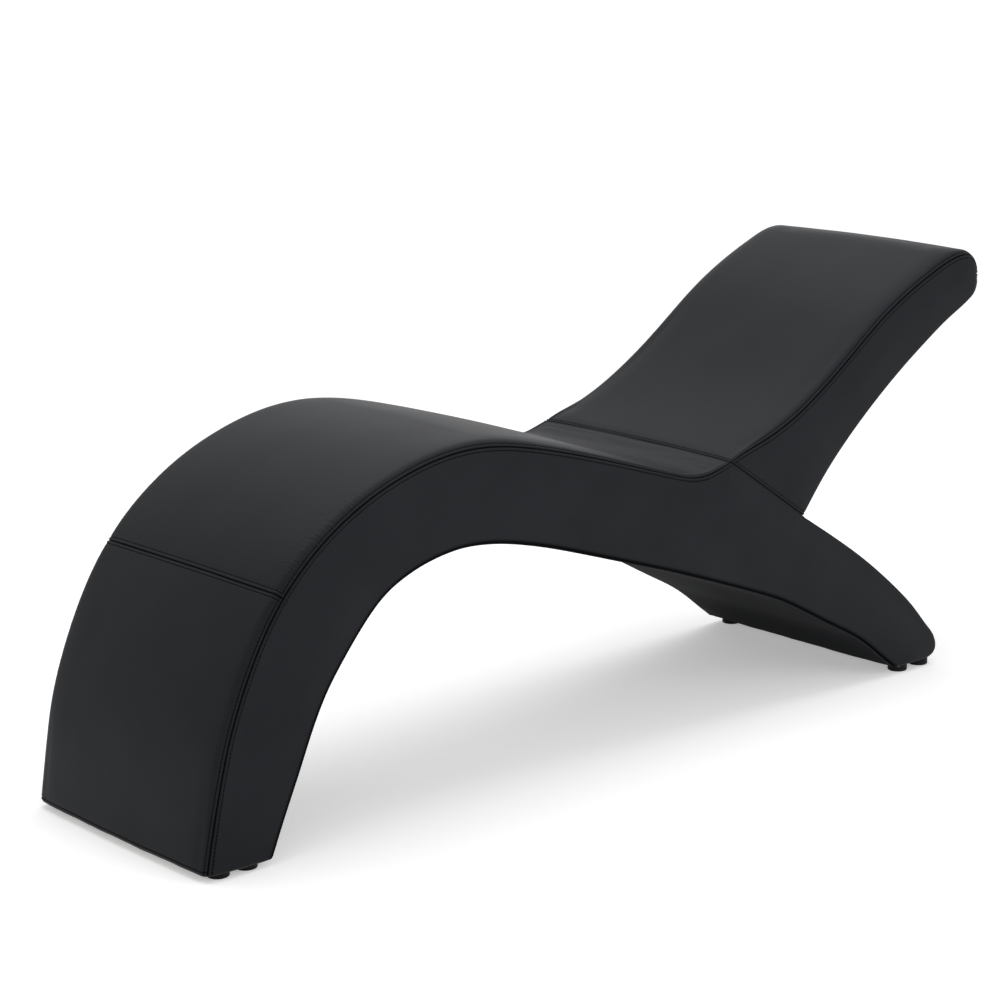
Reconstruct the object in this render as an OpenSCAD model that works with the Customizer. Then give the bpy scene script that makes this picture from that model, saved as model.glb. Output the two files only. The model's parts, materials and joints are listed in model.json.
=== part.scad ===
// Spa relaxation lounger: a one-piece arched base with a bolted backrest, upholstered all round.
// X runs from the foot end to the head, Y across, Z up, with the origin on the floor under the middle.

/* [Overall] */
// Length from the foot end to the head end
overall_length = 1944; // [1800:4:2080]
// Width over the side covers
overall_width = 540; // [480:10:640]
// Height of the head end above the floor
overall_height = 855; // [820:5:900]

/* [Upholstery] */
// Thickness of the cover material
cover_t = 1.5; // [1.2:0.1:2]
// Thickness of the foam that the body lies on
lying_foam_t = 40; // [32:1:46]
// Thickness of the foam in front of the shins, at the floor
shin_foam_t = 20; // [14:1:30]
// Thickness of the foam on the sides, the underside and the rear
thin_foam_t = 8; // [6:0.5:10]
// Crown of the lying surface across its width
lying_crown = 4; // [2:0.5:6]
// Crown of the underside and the rear of the leg
under_crown = 1.5; // [0.5:0.5:3]
// Crown of the sides between their seams
side_crown = 3; // [1:0.5:5]
// Radius of the edges beside the lying surface
lying_edge_r = 20; // [16:1:24]
// Radius of the edges underneath and at the rear
rear_edge_r = 10; // [8:0.5:12]
// Radius of the rounded head end
head_r = 55; // [52:1:58]
// Radius of the rounded heel of the rear foot
heel_r = 28; // [26:1:32]
// Thickness of the dust cloth under the feet
dust_cloth_t = 0.8; // [0.5:0.1:1]

/* [Frame] */
// Thickness of the plywood ribs
rib_t = 18; // [15:1:21]
// Thickness of the boards at the feet and at the back joint
board_t = 18; // [15:1:19]
// Thickness of the bent plywood decks
deck_t = 6; // [4:0.5:8]
// Width of a cross rail
rail_w = 32; // [26:1:36]
// Height of a cross rail
rail_h = 22; // [18:1:26]

/* [Fasteners] */
// Diameter of a wood screw
screw_d = 4; // [3:0.5:5]
// Length of a wood screw under its head
screw_l = 40; // [35:1:45]
// Diameter of a wood screw's head
screw_head_d = 8; // [7:0.5:9]
// Diameter of the bolts that hold the backrest
bolt_d = 8; // [6:1:10]
// Width across the flats of a bolt's head
bolt_head_w = 13; // [12:1:16]
// Diameter of the washer under a bolt's head
washer_d = 24; // [20:1:30]
// Diameter of the flange of a driven nut
nut_flange_d = 22; // [20:1:26]

/* [Glides] */
// Diameter of a glide
glide_d = 40; // [34:1:44]
// Height of a glide
glide_h = 15; // [12:1:18]
// Distance of a glide's centre from the side of the lounger
glide_inset = 30; // [26:1:40]
// Diameter of the screw that holds a glide
glide_screw_d = 5; // [4:0.5:6]

/* [Hidden] */

// Clearances: between layers, at the seam between two panels, and round a screw or bolt
fit_gap = 0.3;
seam_gap = 0.3;
bore_gap = 0.2;
// Stretch that a cut runs past the solid that it cuts
overrun = 50;

// Screw and bolt details
screw_head_t = 3;
bolt_head_t = 5.3;
bolt_end = 3;
washer_t = 2;
nut_flange_t = 1.5;
nut_wall = 1;
nut_barrel_d = bolt_d + 2 * nut_wall;
nut_barrel_l = 11;
glide_edge = 2;
glide_recess_d = 12;
glide_recess_h = 5;
glide_screw_head_d = 10;
glide_screw_head_t = 3;
glide_screw_l = 24;

// Colours
cover_colour = [0.15, 0.155, 0.165];
cloth_colour = [0.08, 0.08, 0.08];
foam_colour = [0.93, 0.88, 0.72];
ply_colour = [0.80, 0.66, 0.46];
rail_colour = [0.86, 0.74, 0.54];
steel_colour = [0.72, 0.73, 0.75];
glide_colour = [0.07, 0.07, 0.075];

// Half width at the seams, and the depths at which the thin layers lie under a surface
seam_y = overall_width / 2 - side_crown;
foam_out = cover_t + fit_gap;
thin_deck_out = foam_out + thin_foam_t + fit_gap;
frame_y = seam_y - thin_deck_out;
foot_z = glide_h;
board_z = foot_z + dust_cloth_t + fit_gap;
board_top_z = board_z + board_t;
// Radius to which the edges run out at the corner of the seat
corner_r = foam_out + seam_gap / 2;
// Extra depth at which the side foam starts below the top foam, and its depth under the cover
side_foam_step = 7;
side_foam_out = foam_out + fit_gap;

// Pieces into which each span of a curve is cut
steps = 2;

// Outline control points in the side view, as shares of the overall length and height
lying_shares = [
    [0.008, 0.096], [0.018, 0.218], [0.044, 0.380], [0.085, 0.535], [0.144, 0.657], [0.228, 0.746],
    [0.312, 0.773], [0.397, 0.739], [0.484, 0.676], [0.558, 0.617], [0.602, 0.596], [0.632, 0.611]
];
arch_shares = [
    [0.0855, 0.080], [0.106, 0.180], [0.135, 0.314], [0.168, 0.413], [0.204, 0.493], [0.249, 0.539],
    [0.298, 0.555], [0.360, 0.536], [0.448, 0.475], [0.521, 0.418], [0.560, 0.387], [0.592, 0.360],
    [0.628, 0.329], [0.664, 0.297], [0.700, 0.263],
    [0.743, 0.211], [0.783, 0.160], [0.818, 0.114], [0.844, 0.076], [0.857, 0.056]
];
notch_share = [0.736, 0.445];
rear_leg_shares = [[0.7825, 0.376], [0.830, 0.300], [0.871, 0.224], [0.905, 0.151], [0.9255, 0.098]];
heel_share = 0.924;
toe_share = 0.0725;
sole_share = 0.873;
back_front_shares = [
    [0.664, 0.638], [0.699, 0.671], [0.736, 0.714], [0.772, 0.765],
    [0.809, 0.824], [0.846, 0.882], [0.886, 0.932], [0.927, 0.973]
];
back_rear_shares = [
    [0.7485, 0.481], [0.768, 0.532], [0.793, 0.587], [0.821, 0.641],
    [0.852, 0.695], [0.885, 0.747], [0.918, 0.794], [0.9495, 0.835]
];

// Angles of the points on the heel, and the angle at which the rear line leaves the head end
heel_angles = [25, -10, -45, -75];
head_rear_angle = -60;
head_steps = 5;

function at(share) = [(share.x - 1 / 2) * overall_length, share.y * overall_height];
function unit(v) = v / norm(v);
function mix(a, b, s) = a + (b - a) * s;
function reversed(list) = [for (i = [len(list) - 1 : -1 : 0]) list[i]];
function part_of(list, from, to) = [for (i = [from : to]) list[i]];
function on_arc(centre, r, angle) = centre + r * [cos(angle), sin(angle)];

// A point on the smooth curve between b and c, and a whole curve through a list of points.
// The curve leaves its last point as if it went on to the point named after.
function curve_point(a, b, c, d, t) =
    (2 * b + (c - a) * t + (2 * a - 5 * b + 4 * c - d) * t * t + (3 * b - a - 3 * c + d) * t * t * t) / 2;
function curve(points, after) =
    let (
        n = len(points) - 1,
        beyond = is_undef(after) ? 2 * points[n] - points[n - 1] : after,
        all = concat([2 * points[0] - points[1]], points, [beyond])
    )
    concat(
        [for (i = [0 : n - 1], k = [0 : steps - 1])
            curve_point(all[i], all[i + 1], all[i + 2], all[i + 3], k / steps)],
        [points[n]]
    );

// Inward vectors of a line: a step of one along each goes one unit deep under the surface.
// The turn is -1 where the inside lies right of the line's direction and 1 where it lies left.
function normal(a, b, turn) = let (u = unit(b - a)) turn * [-u.y, u.x];
function inward(line, turn, first_way, last_way) =
    let (n = len(line) - 1)
    [for (i = [0 : n])
        let (
            before = normal(line[max(i - 1, 0)], line[max(i, 1)], turn),
            behind = normal(line[min(i, n - 1)], line[min(i + 1, n)], turn)
        )
        i == 0 && !is_undef(first_way) ? first_way / (first_way * behind)
        : i == n && !is_undef(last_way) ? last_way / (last_way * before)
        : (before + behind) / (1 + before * behind)];

// A band holds, for each station of one surface: its point, inward vector, edge radius,
// foam thickness and crown. A rise takes a value up from zero over the first steps.
function count(band) = len(band[0]);
function edge_r(band, i) = band[2][i];
function crown(band, i) = band[4][i];
function rise(i) = min(1, i / steps);
function deep(band, i, d) = band[0][i] + d * band[1][i];
function foam_in(band, i) = foam_out + band[3][i];
function deck_out(band, i) = foam_in(band, i) + fit_gap;
function deck_in(band, i) = deck_out(band, i) + deck_t;
function rib_in(band, i) = deck_in(band, i) + fit_gap;
function slice(band, from, to) = [for (list = band) part_of(list, from, to)];
// The stations from one on, with the first moved along by a gap that keeps two pieces apart
function slice_after(band, from, to, gap) =
    let (a = band[0][from], b = band[0][from + 1], rest = slice(band, from, to))
    concat([concat([mix(a, b, gap / norm(b - a))], part_of(band[0], from + 1, to))], part_of(rest, 1, 4));

// Corner of the seat, notch under the backrest, and the straight joint between them
seat_corner = at(lying_shares[len(lying_shares) - 1]);
notch = at(notch_share);
joint_length = norm(notch - seat_corner);
joint_way = unit(notch - seat_corner);
joint_up = [-joint_way.y, joint_way.x];
joint_angle = atan2(joint_way.y, joint_way.x);
function on_joint(s, h) = seat_corner + s * joint_way + h * joint_up;

// Lying surface of the base, from the foot to the seat corner: its foam thickens up to the knee
toe = [lying_crown - overall_length / 2, foot_z];
lying_line = curve(concat([toe], [for (s = lying_shares) at(s)]));
lying_n = len(lying_line);
knee_i = 4 * steps;
crest_i = 7 * steps;
lying = [
    lying_line,
    inward(lying_line, -1, [1, 0], joint_way),
    [for (i = [0 : lying_n - 1]) mix(corner_r, lying_edge_r, rise(lying_n - 1 - i))],
    [for (i = [0 : lying_n - 1]) mix(shin_foam_t, lying_foam_t, min(1, i / knee_i))],
    [for (i = [0 : lying_n - 1]) lying_crown]
];

// Underside, from the front foot over the arch to the rear foot
arch_toe = [(toe_share - 1 / 2) * overall_length, foot_z];
sole_end = [(sole_share - 1 / 2) * overall_length, foot_z];
arch_last = at(arch_shares[len(arch_shares) - 1]);
heel_spans = len(heel_angles);
arch_line = curve(concat(
    [arch_toe], [for (s = arch_shares) at(s)],
    [for (k = [1 : heel_spans]) mix(arch_last, sole_end, k / heel_spans)]));
arch_n = len(arch_line);
arch = [
    arch_line,
    inward(arch_line, 1, [-1, 0], [1, 0]),
    [for (i = [0 : arch_n - 1]) rear_edge_r],
    [for (i = [0 : arch_n - 1]) thin_foam_t],
    [for (i = [0 : arch_n - 1]) under_crown * min(rise(i), rise(arch_n - 1 - i))]
];

// Rear of the leg, from the notch round the heel to the floor
heel = [(heel_share - 1 / 2) * overall_length, foot_z - heel_r * sin(heel_angles[heel_spans - 1])];
leg_line = curve(concat(
    [notch], [for (s = rear_leg_shares) at(s)], [for (a = heel_angles) on_arc(heel, heel_r, a)]));
leg_n = len(leg_line);
leg = [
    leg_line,
    inward(leg_line, -1, arch_line[arch_n - leg_n] - notch, [0, 1]),
    [for (i = [0 : leg_n - 1]) rear_edge_r],
    [for (i = [0 : leg_n - 1]) thin_foam_t],
    [for (i = [0 : leg_n - 1]) under_crown * min(rise(i), rise(leg_n - 1 - i))]
];

// Backrest: front surface and rear surface, both with half of the arc of the head end
head = [overall_length / 2 - lying_crown - head_r, overall_height - lying_crown - head_r];
// Angle that keeps the two surfaces' last stations apart at the nose
nose_angle = 0.3;
function head_arc(start, nose) = [for (k = [1 : head_steps])
    on_arc(head, head_r, k == head_steps ? nose : start * (1 - k / head_steps))];
front_curve = curve(
    concat([on_joint(0, fit_gap)], [for (s = back_front_shares) at(s)], [on_arc(head, head_r, 90)]),
    on_arc(head, head_r, 60));
rear_curve = curve(
    concat([on_joint(joint_length, fit_gap)], [for (s = back_rear_shares) at(s)],
        [on_arc(head, head_r, head_rear_angle)]),
    on_arc(head, head_r, head_rear_angle / 2));
// The first span of the back stays in one piece, because its end is cut at a slant
function thinned(list) = concat([list[0]], part_of(list, steps, len(list) - 1));
curve_n = len(thinned(front_curve));
front_line = concat(thinned(front_curve), head_arc(90, nose_angle));
rear_line = concat(thinned(rear_curve), head_arc(head_rear_angle, -nose_angle));
back_n = len(front_line);
front = [
    front_line,
    inward(front_line, -1, joint_way, head - front_line[back_n - 1]),
    [for (i = [0 : back_n - 1]) mix(corner_r, lying_edge_r, rise(i))],
    [for (i = [0 : back_n - 1]) lying_foam_t],
    [for (i = [0 : back_n - 1]) lying_crown]
];
rear = [
    rear_line,
    inward(rear_line, 1, -joint_way, head - rear_line[back_n - 1]),
    [for (i = [0 : back_n - 1]) mix(rear_edge_r, lying_edge_r, max(0, i + 1 - curve_n) / head_steps)],
    [for (i = [0 : back_n - 1]) thin_foam_t],
    [for (i = [0 : back_n - 1]) lying_crown * rise(i)]
];

// Ways along the joint at which the boards start and end, clear of the decks
lying_slope = joint_way * normal(lying_line[lying_n - 2], lying_line[lying_n - 1], -1);
front_slope = joint_way * normal(front_line[0], front_line[1], -1);
front_rise = joint_up * normal(front_line[0], front_line[1], -1);
rear_slope = -joint_way * normal(rear_line[0], rear_line[1], 1);
mount_s0 = (rib_in(lying, lying_n - 1) + side_foam_step) / lying_slope;
mount_s1 = joint_length - fit_gap;
back_mount_s0 = (rib_in(front, 0) + fit_gap - (board_t + 2 * fit_gap) * front_rise) / front_slope;
back_mount_s1 = joint_length - (rib_in(rear, 0) + fit_gap) / rear_slope;
// The slot for the back's board runs clear through the rear edge of the ribs
back_slot_s1 = back_mount_s1 + fit_gap;

// Across a panel: places from the left edge to the right edge as [y, depth] pairs
function edge_place(r, d, angle) = [seam_y - r + (r - d) * cos(angle), r - (r - d) * sin(angle)];
middle_shares = [1 / 2, 0, -1 / 2];
function across(r, d, crown, angles) =
    let (
        side = [for (a = angles) edge_place(r, d, a)],
        flat_y = seam_y - r,
        middle = [for (s = middle_shares) [s * flat_y, d - crown * (1 - s * s)]]
    )
    concat(side, middle, [for (p = reversed(side)) [-p.x, p.y]]);
function row(band, i, places) = [for (p = places) let (q = deep(band, i, p.y)) [q.x, p.x, q.y]];
function sheet_rows(band, d, angles) =
    [for (i = [0 : count(band) - 1]) row(band, i, across(edge_r(band, i), d, crown(band, i), angles))];
function foam_floor(band, angles) =
    [for (i = [0 : count(band) - 1])
        row(band, i, [for (p = across(edge_r(band, i), foam_out, 0, angles)) [p.x, foam_in(band, i)]])];

seam_turn = asin(seam_gap / 2 / rear_edge_r);
cover_angles = [45 + seam_turn, 70, 90];
thin_cover_angles = [45 + seam_turn, 90];
foam_angles = [0, 45, 90];
thin_foam_angles = [0, 90];

// A closed layer between two grids of points, each a list of rows; the first faces outwards
module layer(a, b) {
    m = len(a);
    k = len(a[0]);
    n = m * k;
    points = concat([for (line = a, p = line) p], [for (line = b, p = line) p]);
    skin = [for (i = [0 : m - 2], j = [0 : k - 2]) let (p = i * k + j)
        each [[p, p + k, p + 1], [p + 1, p + k, p + k + 1],
            [n + p, n + p + 1, n + p + k], [n + p + 1, n + p + k + 1, n + p + k]]];
    sides = [for (i = [0 : m - 2]) let (p = i * k, q = i * k + k - 1)
        each [[p, n + p, p + k], [p + k, n + p, n + p + k],
            [q, q + k, n + q], [q + k, n + q + k, n + q]]];
    ends = [for (j = [0 : k - 2]) let (p = j, q = (m - 1) * k + j)
        each [[p, p + 1, n + p], [p + 1, n + p + 1, n + p],
            [q, n + q, q + 1], [q + 1, n + q, n + q + 1]]];
    polyhedron(points, concat(skin, sides, ends));
}
module upper_panel(band, angles) {
    color(cover_colour) layer(sheet_rows(band, 0, angles), sheet_rows(band, cover_t, angles));
}
module lower_panel(band, angles) {
    color(cover_colour) layer(sheet_rows(band, cover_t, angles), sheet_rows(band, 0, angles));
}
module upper_foam(band, angles) {
    color(foam_colour) layer(sheet_rows(band, foam_out, angles), foam_floor(band, angles));
}
module lower_foam(band, angles) {
    color(foam_colour) layer(foam_floor(band, angles), sheet_rows(band, foam_out, angles));
}

// Sides: between its two edges a side bulges by its crown, which rises over a share of the height
crown_share = 1 / 4;
side_angles = [45 - seam_turn, 20, 0];
low_angles = [0, 45 - seam_turn];
function side_bulge(s) = side_crown * max(0, min(1, s / crown_share, (1 - s) / crown_share));
function side_place(q, y) = [q.x, -y, q.y];
function side_point(a, b, s, d) = side_place(mix(a, b, s), seam_y - d + side_bulge(s));
// An open station starts at the joint with no rounded edge
function side_cover_row(up, i, low, j, d, open) =
    let (
        r = open ? 0 : edge_r(up, i),
        a = deep(up, i, r),
        b = deep(low, j, edge_r(low, j))
    )
    concat(
        [for (k = [0 : 2]) let (e = edge_place(r, d, side_angles[k]))
            open ? side_point(a, b, k / 3 * crown_share, d) : side_place(deep(up, i, e.y), e.x)],
        [for (s = [crown_share, 1 - crown_share]) side_point(a, b, s, d)],
        [for (angle = low_angles) let (e = edge_place(edge_r(low, j), d, angle))
            side_place(deep(low, j, e.y), e.x)]
    );
// Share of a side's height left free of foam below the joint
open_share = crown_share / 3;
// Share of the way from a to b at which a depth under the first surface is reached
function depth_share(band, i, a, b, depth) =
    let (way = band[1][i]) (depth - edge_r(band, i)) * (way * way) / ((b - a) * way);
function side_foam_row(up, i, low, j, y, open) =
    let (
        a = deep(up, i, open ? 0 : edge_r(up, i)),
        b = deep(low, j, edge_r(low, j)),
        top = open ? open_share : depth_share(up, i, a, b, deck_out(up, i) + side_foam_step),
        bottom = 1 - depth_share(low, j, b, a, deck_out(low, j) + side_foam_step)
    )
    [for (s = [top, crown_share, 1 - crown_share, bottom])
        is_undef(y) ? side_point(a, b, s, side_foam_out) : side_place(mix(a, b, s), y)];

// The side of the base follows the lying surface, the joint and the rear of the leg
joint_n = arch_n - lying_n - leg_n;
joint = [
    [for (k = [0 : joint_n - 1]) on_joint(mix(mount_s0, joint_length, k / joint_n), 0)],
    [for (k = [0 : joint_n - 1]) -joint_up],
    [for (k = [0 : joint_n - 1]) 0],
    [for (k = [0 : joint_n - 1]) 0],
    [for (k = [0 : joint_n - 1]) 0]
];
seat_drop = arch_line[lying_n - 1] - seat_corner;
side_ins = concat(part_of(lying[1], 0, lying_n - 2),
    [seat_drop / (seat_drop * normal(lying_line[lying_n - 2], lying_line[lying_n - 1], -1))]);
base_edge = [for (k = [0 : 4]) concat(k == 1 ? side_ins : lying[k], joint[k], leg[k])];
function in_joint(i) = i >= lying_n && i < lying_n + joint_n;

module base_side_cover() {
    rows = [for (d = [0, cover_t])
        [for (i = [0 : arch_n - 1]) side_cover_row(base_edge, i, arch, i, d, in_joint(i))]];
    color(cover_colour) layer(rows[0], rows[1]);
}
module base_side_foam() {
    rows = [for (y = [undef, frame_y + fit_gap])
        [for (i = [0 : arch_n - 1 - steps]) side_foam_row(base_edge, i, arch, i, y, in_joint(i))]];
    color(foam_colour) layer(rows[0], rows[1]);
}
module back_side_cover() {
    rows = [for (d = [0, cover_t])
        [for (i = [0 : back_n - 1]) side_cover_row(front, i, rear, i, d, false)]];
    color(cover_colour) layer(rows[0], rows[1]);
}
module back_side_foam() {
    rows = [for (y = [undef, frame_y + fit_gap])
        [for (i = [0 : curve_n - 1]) side_foam_row(front, i, rear, i, y, false)]];
    color(foam_colour) layer(rows[0], rows[1]);
}
module right_side() {
    mirror([0, 1, 0]) children();
}

// Covers
module shin_cover() {
    upper_panel(slice(lying, 0, knee_i), cover_angles);
}
module knee_seat_cover() {
    upper_panel(slice_after(lying, knee_i, lying_n - 1, seam_gap), cover_angles);
}
module base_side_cover_left() {
    base_side_cover();
}
module base_side_cover_right() {
    right_side() base_side_cover();
}
module arch_cover() {
    lower_panel(arch, thin_cover_angles);
}
module rear_leg_cover() {
    upper_panel(leg, thin_cover_angles);
}
// The front cover goes on over the head end and stops where the rear cover starts
module back_front_cover() {
    under = slice_after(rear, curve_n - 1, back_n - 2, seam_gap);
    upper_panel([for (k = [0 : 4]) concat(front[k], reversed(under[k]))], cover_angles);
}
module back_rear_cover() {
    lower_panel(slice(rear, 0, curve_n - 1), thin_cover_angles);
}
module back_side_cover_left() {
    back_side_cover();
}
module back_side_cover_right() {
    right_side() back_side_cover();
}

// Foam
module leg_foam() {
    upper_foam(slice(lying, 0, crest_i), foam_angles);
}
module seat_foam() {
    upper_foam(slice_after(lying, crest_i, lying_n - 1, fit_gap), foam_angles);
}
module base_side_foam_left() {
    base_side_foam();
}
module base_side_foam_right() {
    right_side() base_side_foam();
}
module arch_foam() {
    lower_foam(arch, thin_foam_angles);
}
module rear_leg_foam() {
    upper_foam(leg, thin_foam_angles);
}
module back_front_foam() {
    upper_foam(slice(front, 0, curve_n - 1), foam_angles);
}
module head_foam() {
    over = slice_after(front, curve_n - 1, back_n - 1, fit_gap);
    under = slice_after(rear, curve_n - 1, back_n - 1, fit_gap);
    color(foam_colour)
        layer(sheet_rows(over, foam_out, foam_angles), sheet_rows(under, foam_out, foam_angles));
}
module back_rear_foam() {
    lower_foam(slice(rear, 0, curve_n - 1), thin_foam_angles);
}
module back_side_foam_left() {
    back_side_foam();
}
module back_side_foam_right() {
    right_side() back_side_foam();
}

// Flat sheets cut to an outline in the side view, centred on y
module plate(points, y, t) {
    translate([0, y + t / 2, 0]) rotate([90, 0, 0]) linear_extrude(t) polygon(points);
}
module deck(band) {
    n = count(band) - 1;
    color(ply_colour) plate(concat(
        [for (i = [0 : n]) deep(band, i, deck_out(band, i))],
        [for (i = [n : -1 : 0]) deep(band, i, deck_in(band, i))]), 0, 2 * frame_y);
}
module floor_cut(top) {
    translate([-overall_length, -overall_width, top - overall_height])
        cube([2 * overall_length, 2 * overall_width, overall_height]);
}
module leg_deck() {
    deck(slice(lying, 0, knee_i));
}
module seat_deck() {
    deck(slice_after(lying, knee_i, lying_n - 1, fit_gap));
}
module arch_deck() {
    deck(arch);
}
// The deck behind the leg stops above the foot board
module rear_leg_deck() {
    difference() {
        deck(leg);
        floor_cut(board_top_z + fit_gap);
    }
}
module back_front_deck() {
    deck(slice(front, 0, curve_n - 1));
}
module back_rear_deck() {
    deck(slice(rear, 0, curve_n - 1));
}

// Boards at the joint, in a frame with x along the joint and z square to it
module in_joint_frame(s, h) {
    p = on_joint(s, h);
    translate([p.x, 0, p.y]) rotate([0, -joint_angle, 0]) children();
}
module joint_board(s0, s1, h, t, extra) {
    in_joint_frame(s0 - extra, h)
        translate([0, -frame_y, 0]) cube([s1 - s0 + 2 * extra, 2 * frame_y, t]);
}
bolt_y = frame_y / 2;
bolt_shares = [1 / 4, 3 / 4];
bolt_s = [for (s = bolt_shares) mix(back_mount_s0, back_mount_s1, s)];
module at_bolts(h) {
    for (s = bolt_s, y = [-bolt_y, bolt_y]) in_joint_frame(s, h) translate([0, y, 0]) children();
}
// Screws that hold a joint board on the ribs, driven from the joint
joint_screw_shares = [0.15, 0.85];
rib_ys = [-(frame_y - rib_t / 2), 0, frame_y - rib_t / 2];
module at_base_joint_screws() {
    for (s = joint_screw_shares, y = rib_ys)
        in_joint_frame(mix(mount_s0, mount_s1, s), 0) translate([0, y, 0]) children();
}
module at_back_joint_screws() {
    for (s = joint_screw_shares, y = rib_ys)
        in_joint_frame(mix(back_mount_s0, back_mount_s1, s), fit_gap)
            translate([0, y, 0]) rotate([180, 0, 0]) children();
}

// A wood screw pointing down from its head's top face at z zero, and the hole that takes it
module screw(head_d, head_t, d, l) {
    $fn = 24;
    translate([0, 0, -head_t]) cylinder(d = head_d, h = head_t);
    translate([0, 0, -head_t - l]) cylinder(d = d, h = l + head_t / 2);
}
module screw_hole(head_d, head_t, d, l) {
    $fn = 24;
    translate([0, 0, -head_t - bore_gap])
        cylinder(d = head_d + 2 * bore_gap, h = head_t + bore_gap + overrun);
    translate([0, 0, -head_t - l - bore_gap]) cylinder(d = d + 2 * bore_gap, h = l + head_t);
}
module wood_screw() {
    screw(screw_head_d, screw_head_t, screw_d, screw_l);
}
module wood_screw_hole() {
    screw_hole(screw_head_d, screw_head_t, screw_d, screw_l);
}

// Rails: each lies under one flat piece of a deck, in the bay between two ribs
bay_y0 = rib_t / 2 + fit_gap;
bay_y1 = frame_y - rib_t - fit_gap;
shin_rail_i = [2, 5];
knee_rail_i = [8, 11, 14];
seat_rail_i = [17, 20, 22];
leg_rail_i = [1, 4];
back_rail_i = [4, 8, 12];
head_rail_i = [16];
module on_piece(band, i) {
    a = deep(band, i, rib_in(band, i));
    b = deep(band, i + 1, rib_in(band, i + 1));
    m = (a + b) / 2;
    translate([m.x, 0, m.y]) rotate([0, -atan2(b.y - a.y, b.x - a.x), 0]) children();
}
module rail_pair() {
    for (side = [0, 1]) mirror([0, side, 0])
        translate([-rail_w / 2, bay_y0, -rail_h]) cube([rail_w, bay_y1 - bay_y0, rail_h]);
}
// Two screws through each outer rib into a rail's end
screw_pitch_share = 1 / 2;
module at_rail_ends() {
    for (side = [0, 1], x = [-1, 1]) mirror([0, side, 0])
        translate([x * screw_pitch_share * rail_w / 2, frame_y, -rail_h / 2]) rotate([-90, 0, 0]) children();
}
module rails(band, list) {
    color(rail_colour) difference() {
        for (i = list) on_piece(band, i) rail_pair();
        for (i = list) on_piece(band, i) at_rail_ends() wood_screw_hole();
    }
}
module at_base_rails() {
    for (i = concat(shin_rail_i, knee_rail_i, seat_rail_i)) on_piece(lying, i) at_rail_ends() children();
    for (i = leg_rail_i) on_piece(leg, i) at_rail_ends() children();
}
module at_back_rails() {
    for (i = concat(back_rail_i, head_rail_i)) on_piece(front, i) at_rail_ends() children();
}
module shin_rails() {
    rails(lying, shin_rail_i);
}
module knee_rails() {
    rails(lying, knee_rail_i);
}
module seat_rails() {
    rails(lying, seat_rail_i);
}
module rear_leg_rails() {
    rails(leg, leg_rail_i);
}
module back_rails() {
    rails(front, back_rail_i);
}
module head_rails() {
    rails(front, head_rail_i);
}

// Ribs
function rib_edge(band, last) = [for (i = [0 : last]) deep(band, i, rib_in(band, i))];
base_rib_points = concat(
    rib_edge(lying, lying_n - 1), rib_edge(leg, leg_n - 1), reversed(rib_edge(arch, arch_n - 1)));
back_rib_points = concat(rib_edge(front, curve_n - 1), reversed(rib_edge(rear, curve_n - 1)));
module base_rib(y, outer) {
    color(ply_colour) difference() {
        plate(base_rib_points, y, rib_t);
        floor_cut(board_top_z + fit_gap);
        joint_board(mount_s0, mount_s1, -board_t - fit_gap, board_t + overrun, fit_gap);
        at_base_joint_screws() wood_screw_hole();
        at_foot_screws() wood_screw_hole();
        if (outer) at_base_rails() wood_screw_hole();
    }
}
module back_rib(y, outer) {
    color(ply_colour) difference() {
        plate(back_rib_points, y, rib_t);
        joint_board(back_mount_s0, back_slot_s1, -overrun, board_t + 2 * fit_gap + overrun, fit_gap);
        at_back_joint_screws() wood_screw_hole();
        if (outer) at_back_rails() wood_screw_hole();
    }
}
module base_rib_left() {
    base_rib(rib_ys[0], true);
}
module base_rib_middle() {
    base_rib(rib_ys[1], false);
}
module base_rib_right() {
    base_rib(rib_ys[2], true);
}
module back_rib_left() {
    back_rib(rib_ys[0], true);
}
module back_rib_middle() {
    back_rib(rib_ys[1], false);
}
module back_rib_right() {
    back_rib(rib_ys[2], true);
}

// Foot boards fill the frame between the two decks at the floor
function x_at(a, b, z) = mix(a.x, b.x, (z - a.y) / (b.y - a.y));
function deck_x(band, i, z) = x_at(
    deep(band, i, deck_in(band, i)), deep(band, i + 1, deck_in(band, i + 1)), z);
board_zs = [board_z, board_top_z, foot_z];
front_x = [for (z = board_zs) deck_x(lying, 0, z) + fit_gap];
arch_x = [for (z = board_zs) deck_x(arch, 0, z) - fit_gap];
sole_x = [for (z = board_zs) deck_x(arch, arch_n - 2 - 2 * steps, z) + fit_gap];
heel_x = leg_line[leg_n - 1].x - fit_gap;
// The rear glides keep a share of their diameter from the end of the sole and from the heel
front_glide_shares = [0.31, 0.73];
rear_glide_shares = [0.9, 0.2];
rear_glide_x = [sole_end.x + rear_glide_shares[0] * glide_d, heel_x - rear_glide_shares[1] * glide_d];
front_glide_x = [for (s = front_glide_shares) mix(toe.x, arch_toe.x, s)];
glide_y = overall_width / 2 - glide_inset;
module at_glides(x) {
    for (gx = x, y = [-glide_y, glide_y]) translate([gx, y, 0]) children();
}
front_screw_shares = [0.2, 0.8];
rear_screw_shares = [0.25, 0.75];
front_screw_x = [for (s = front_screw_shares) mix(front_x[0], arch_x[0], s)];
rear_screw_x = [for (s = rear_screw_shares) mix(sole_x[0], heel_x, s)];
module at_foot_screws() {
    for (x = concat(front_screw_x, rear_screw_x), y = rib_ys)
        translate([x, y, board_z]) rotate([180, 0, 0]) children();
}
module glide_screw() {
    translate([0, 0, glide_recess_h]) rotate([180, 0, 0]) translate([0, 0, glide_screw_head_t])
        screw(glide_screw_head_d, glide_screw_head_t, glide_screw_d, glide_screw_l);
}
module glide_bore(from, to) {
    $fn = 24;
    translate([0, 0, from]) cylinder(d = glide_screw_d + 2 * bore_gap, h = to - from);
}
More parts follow.
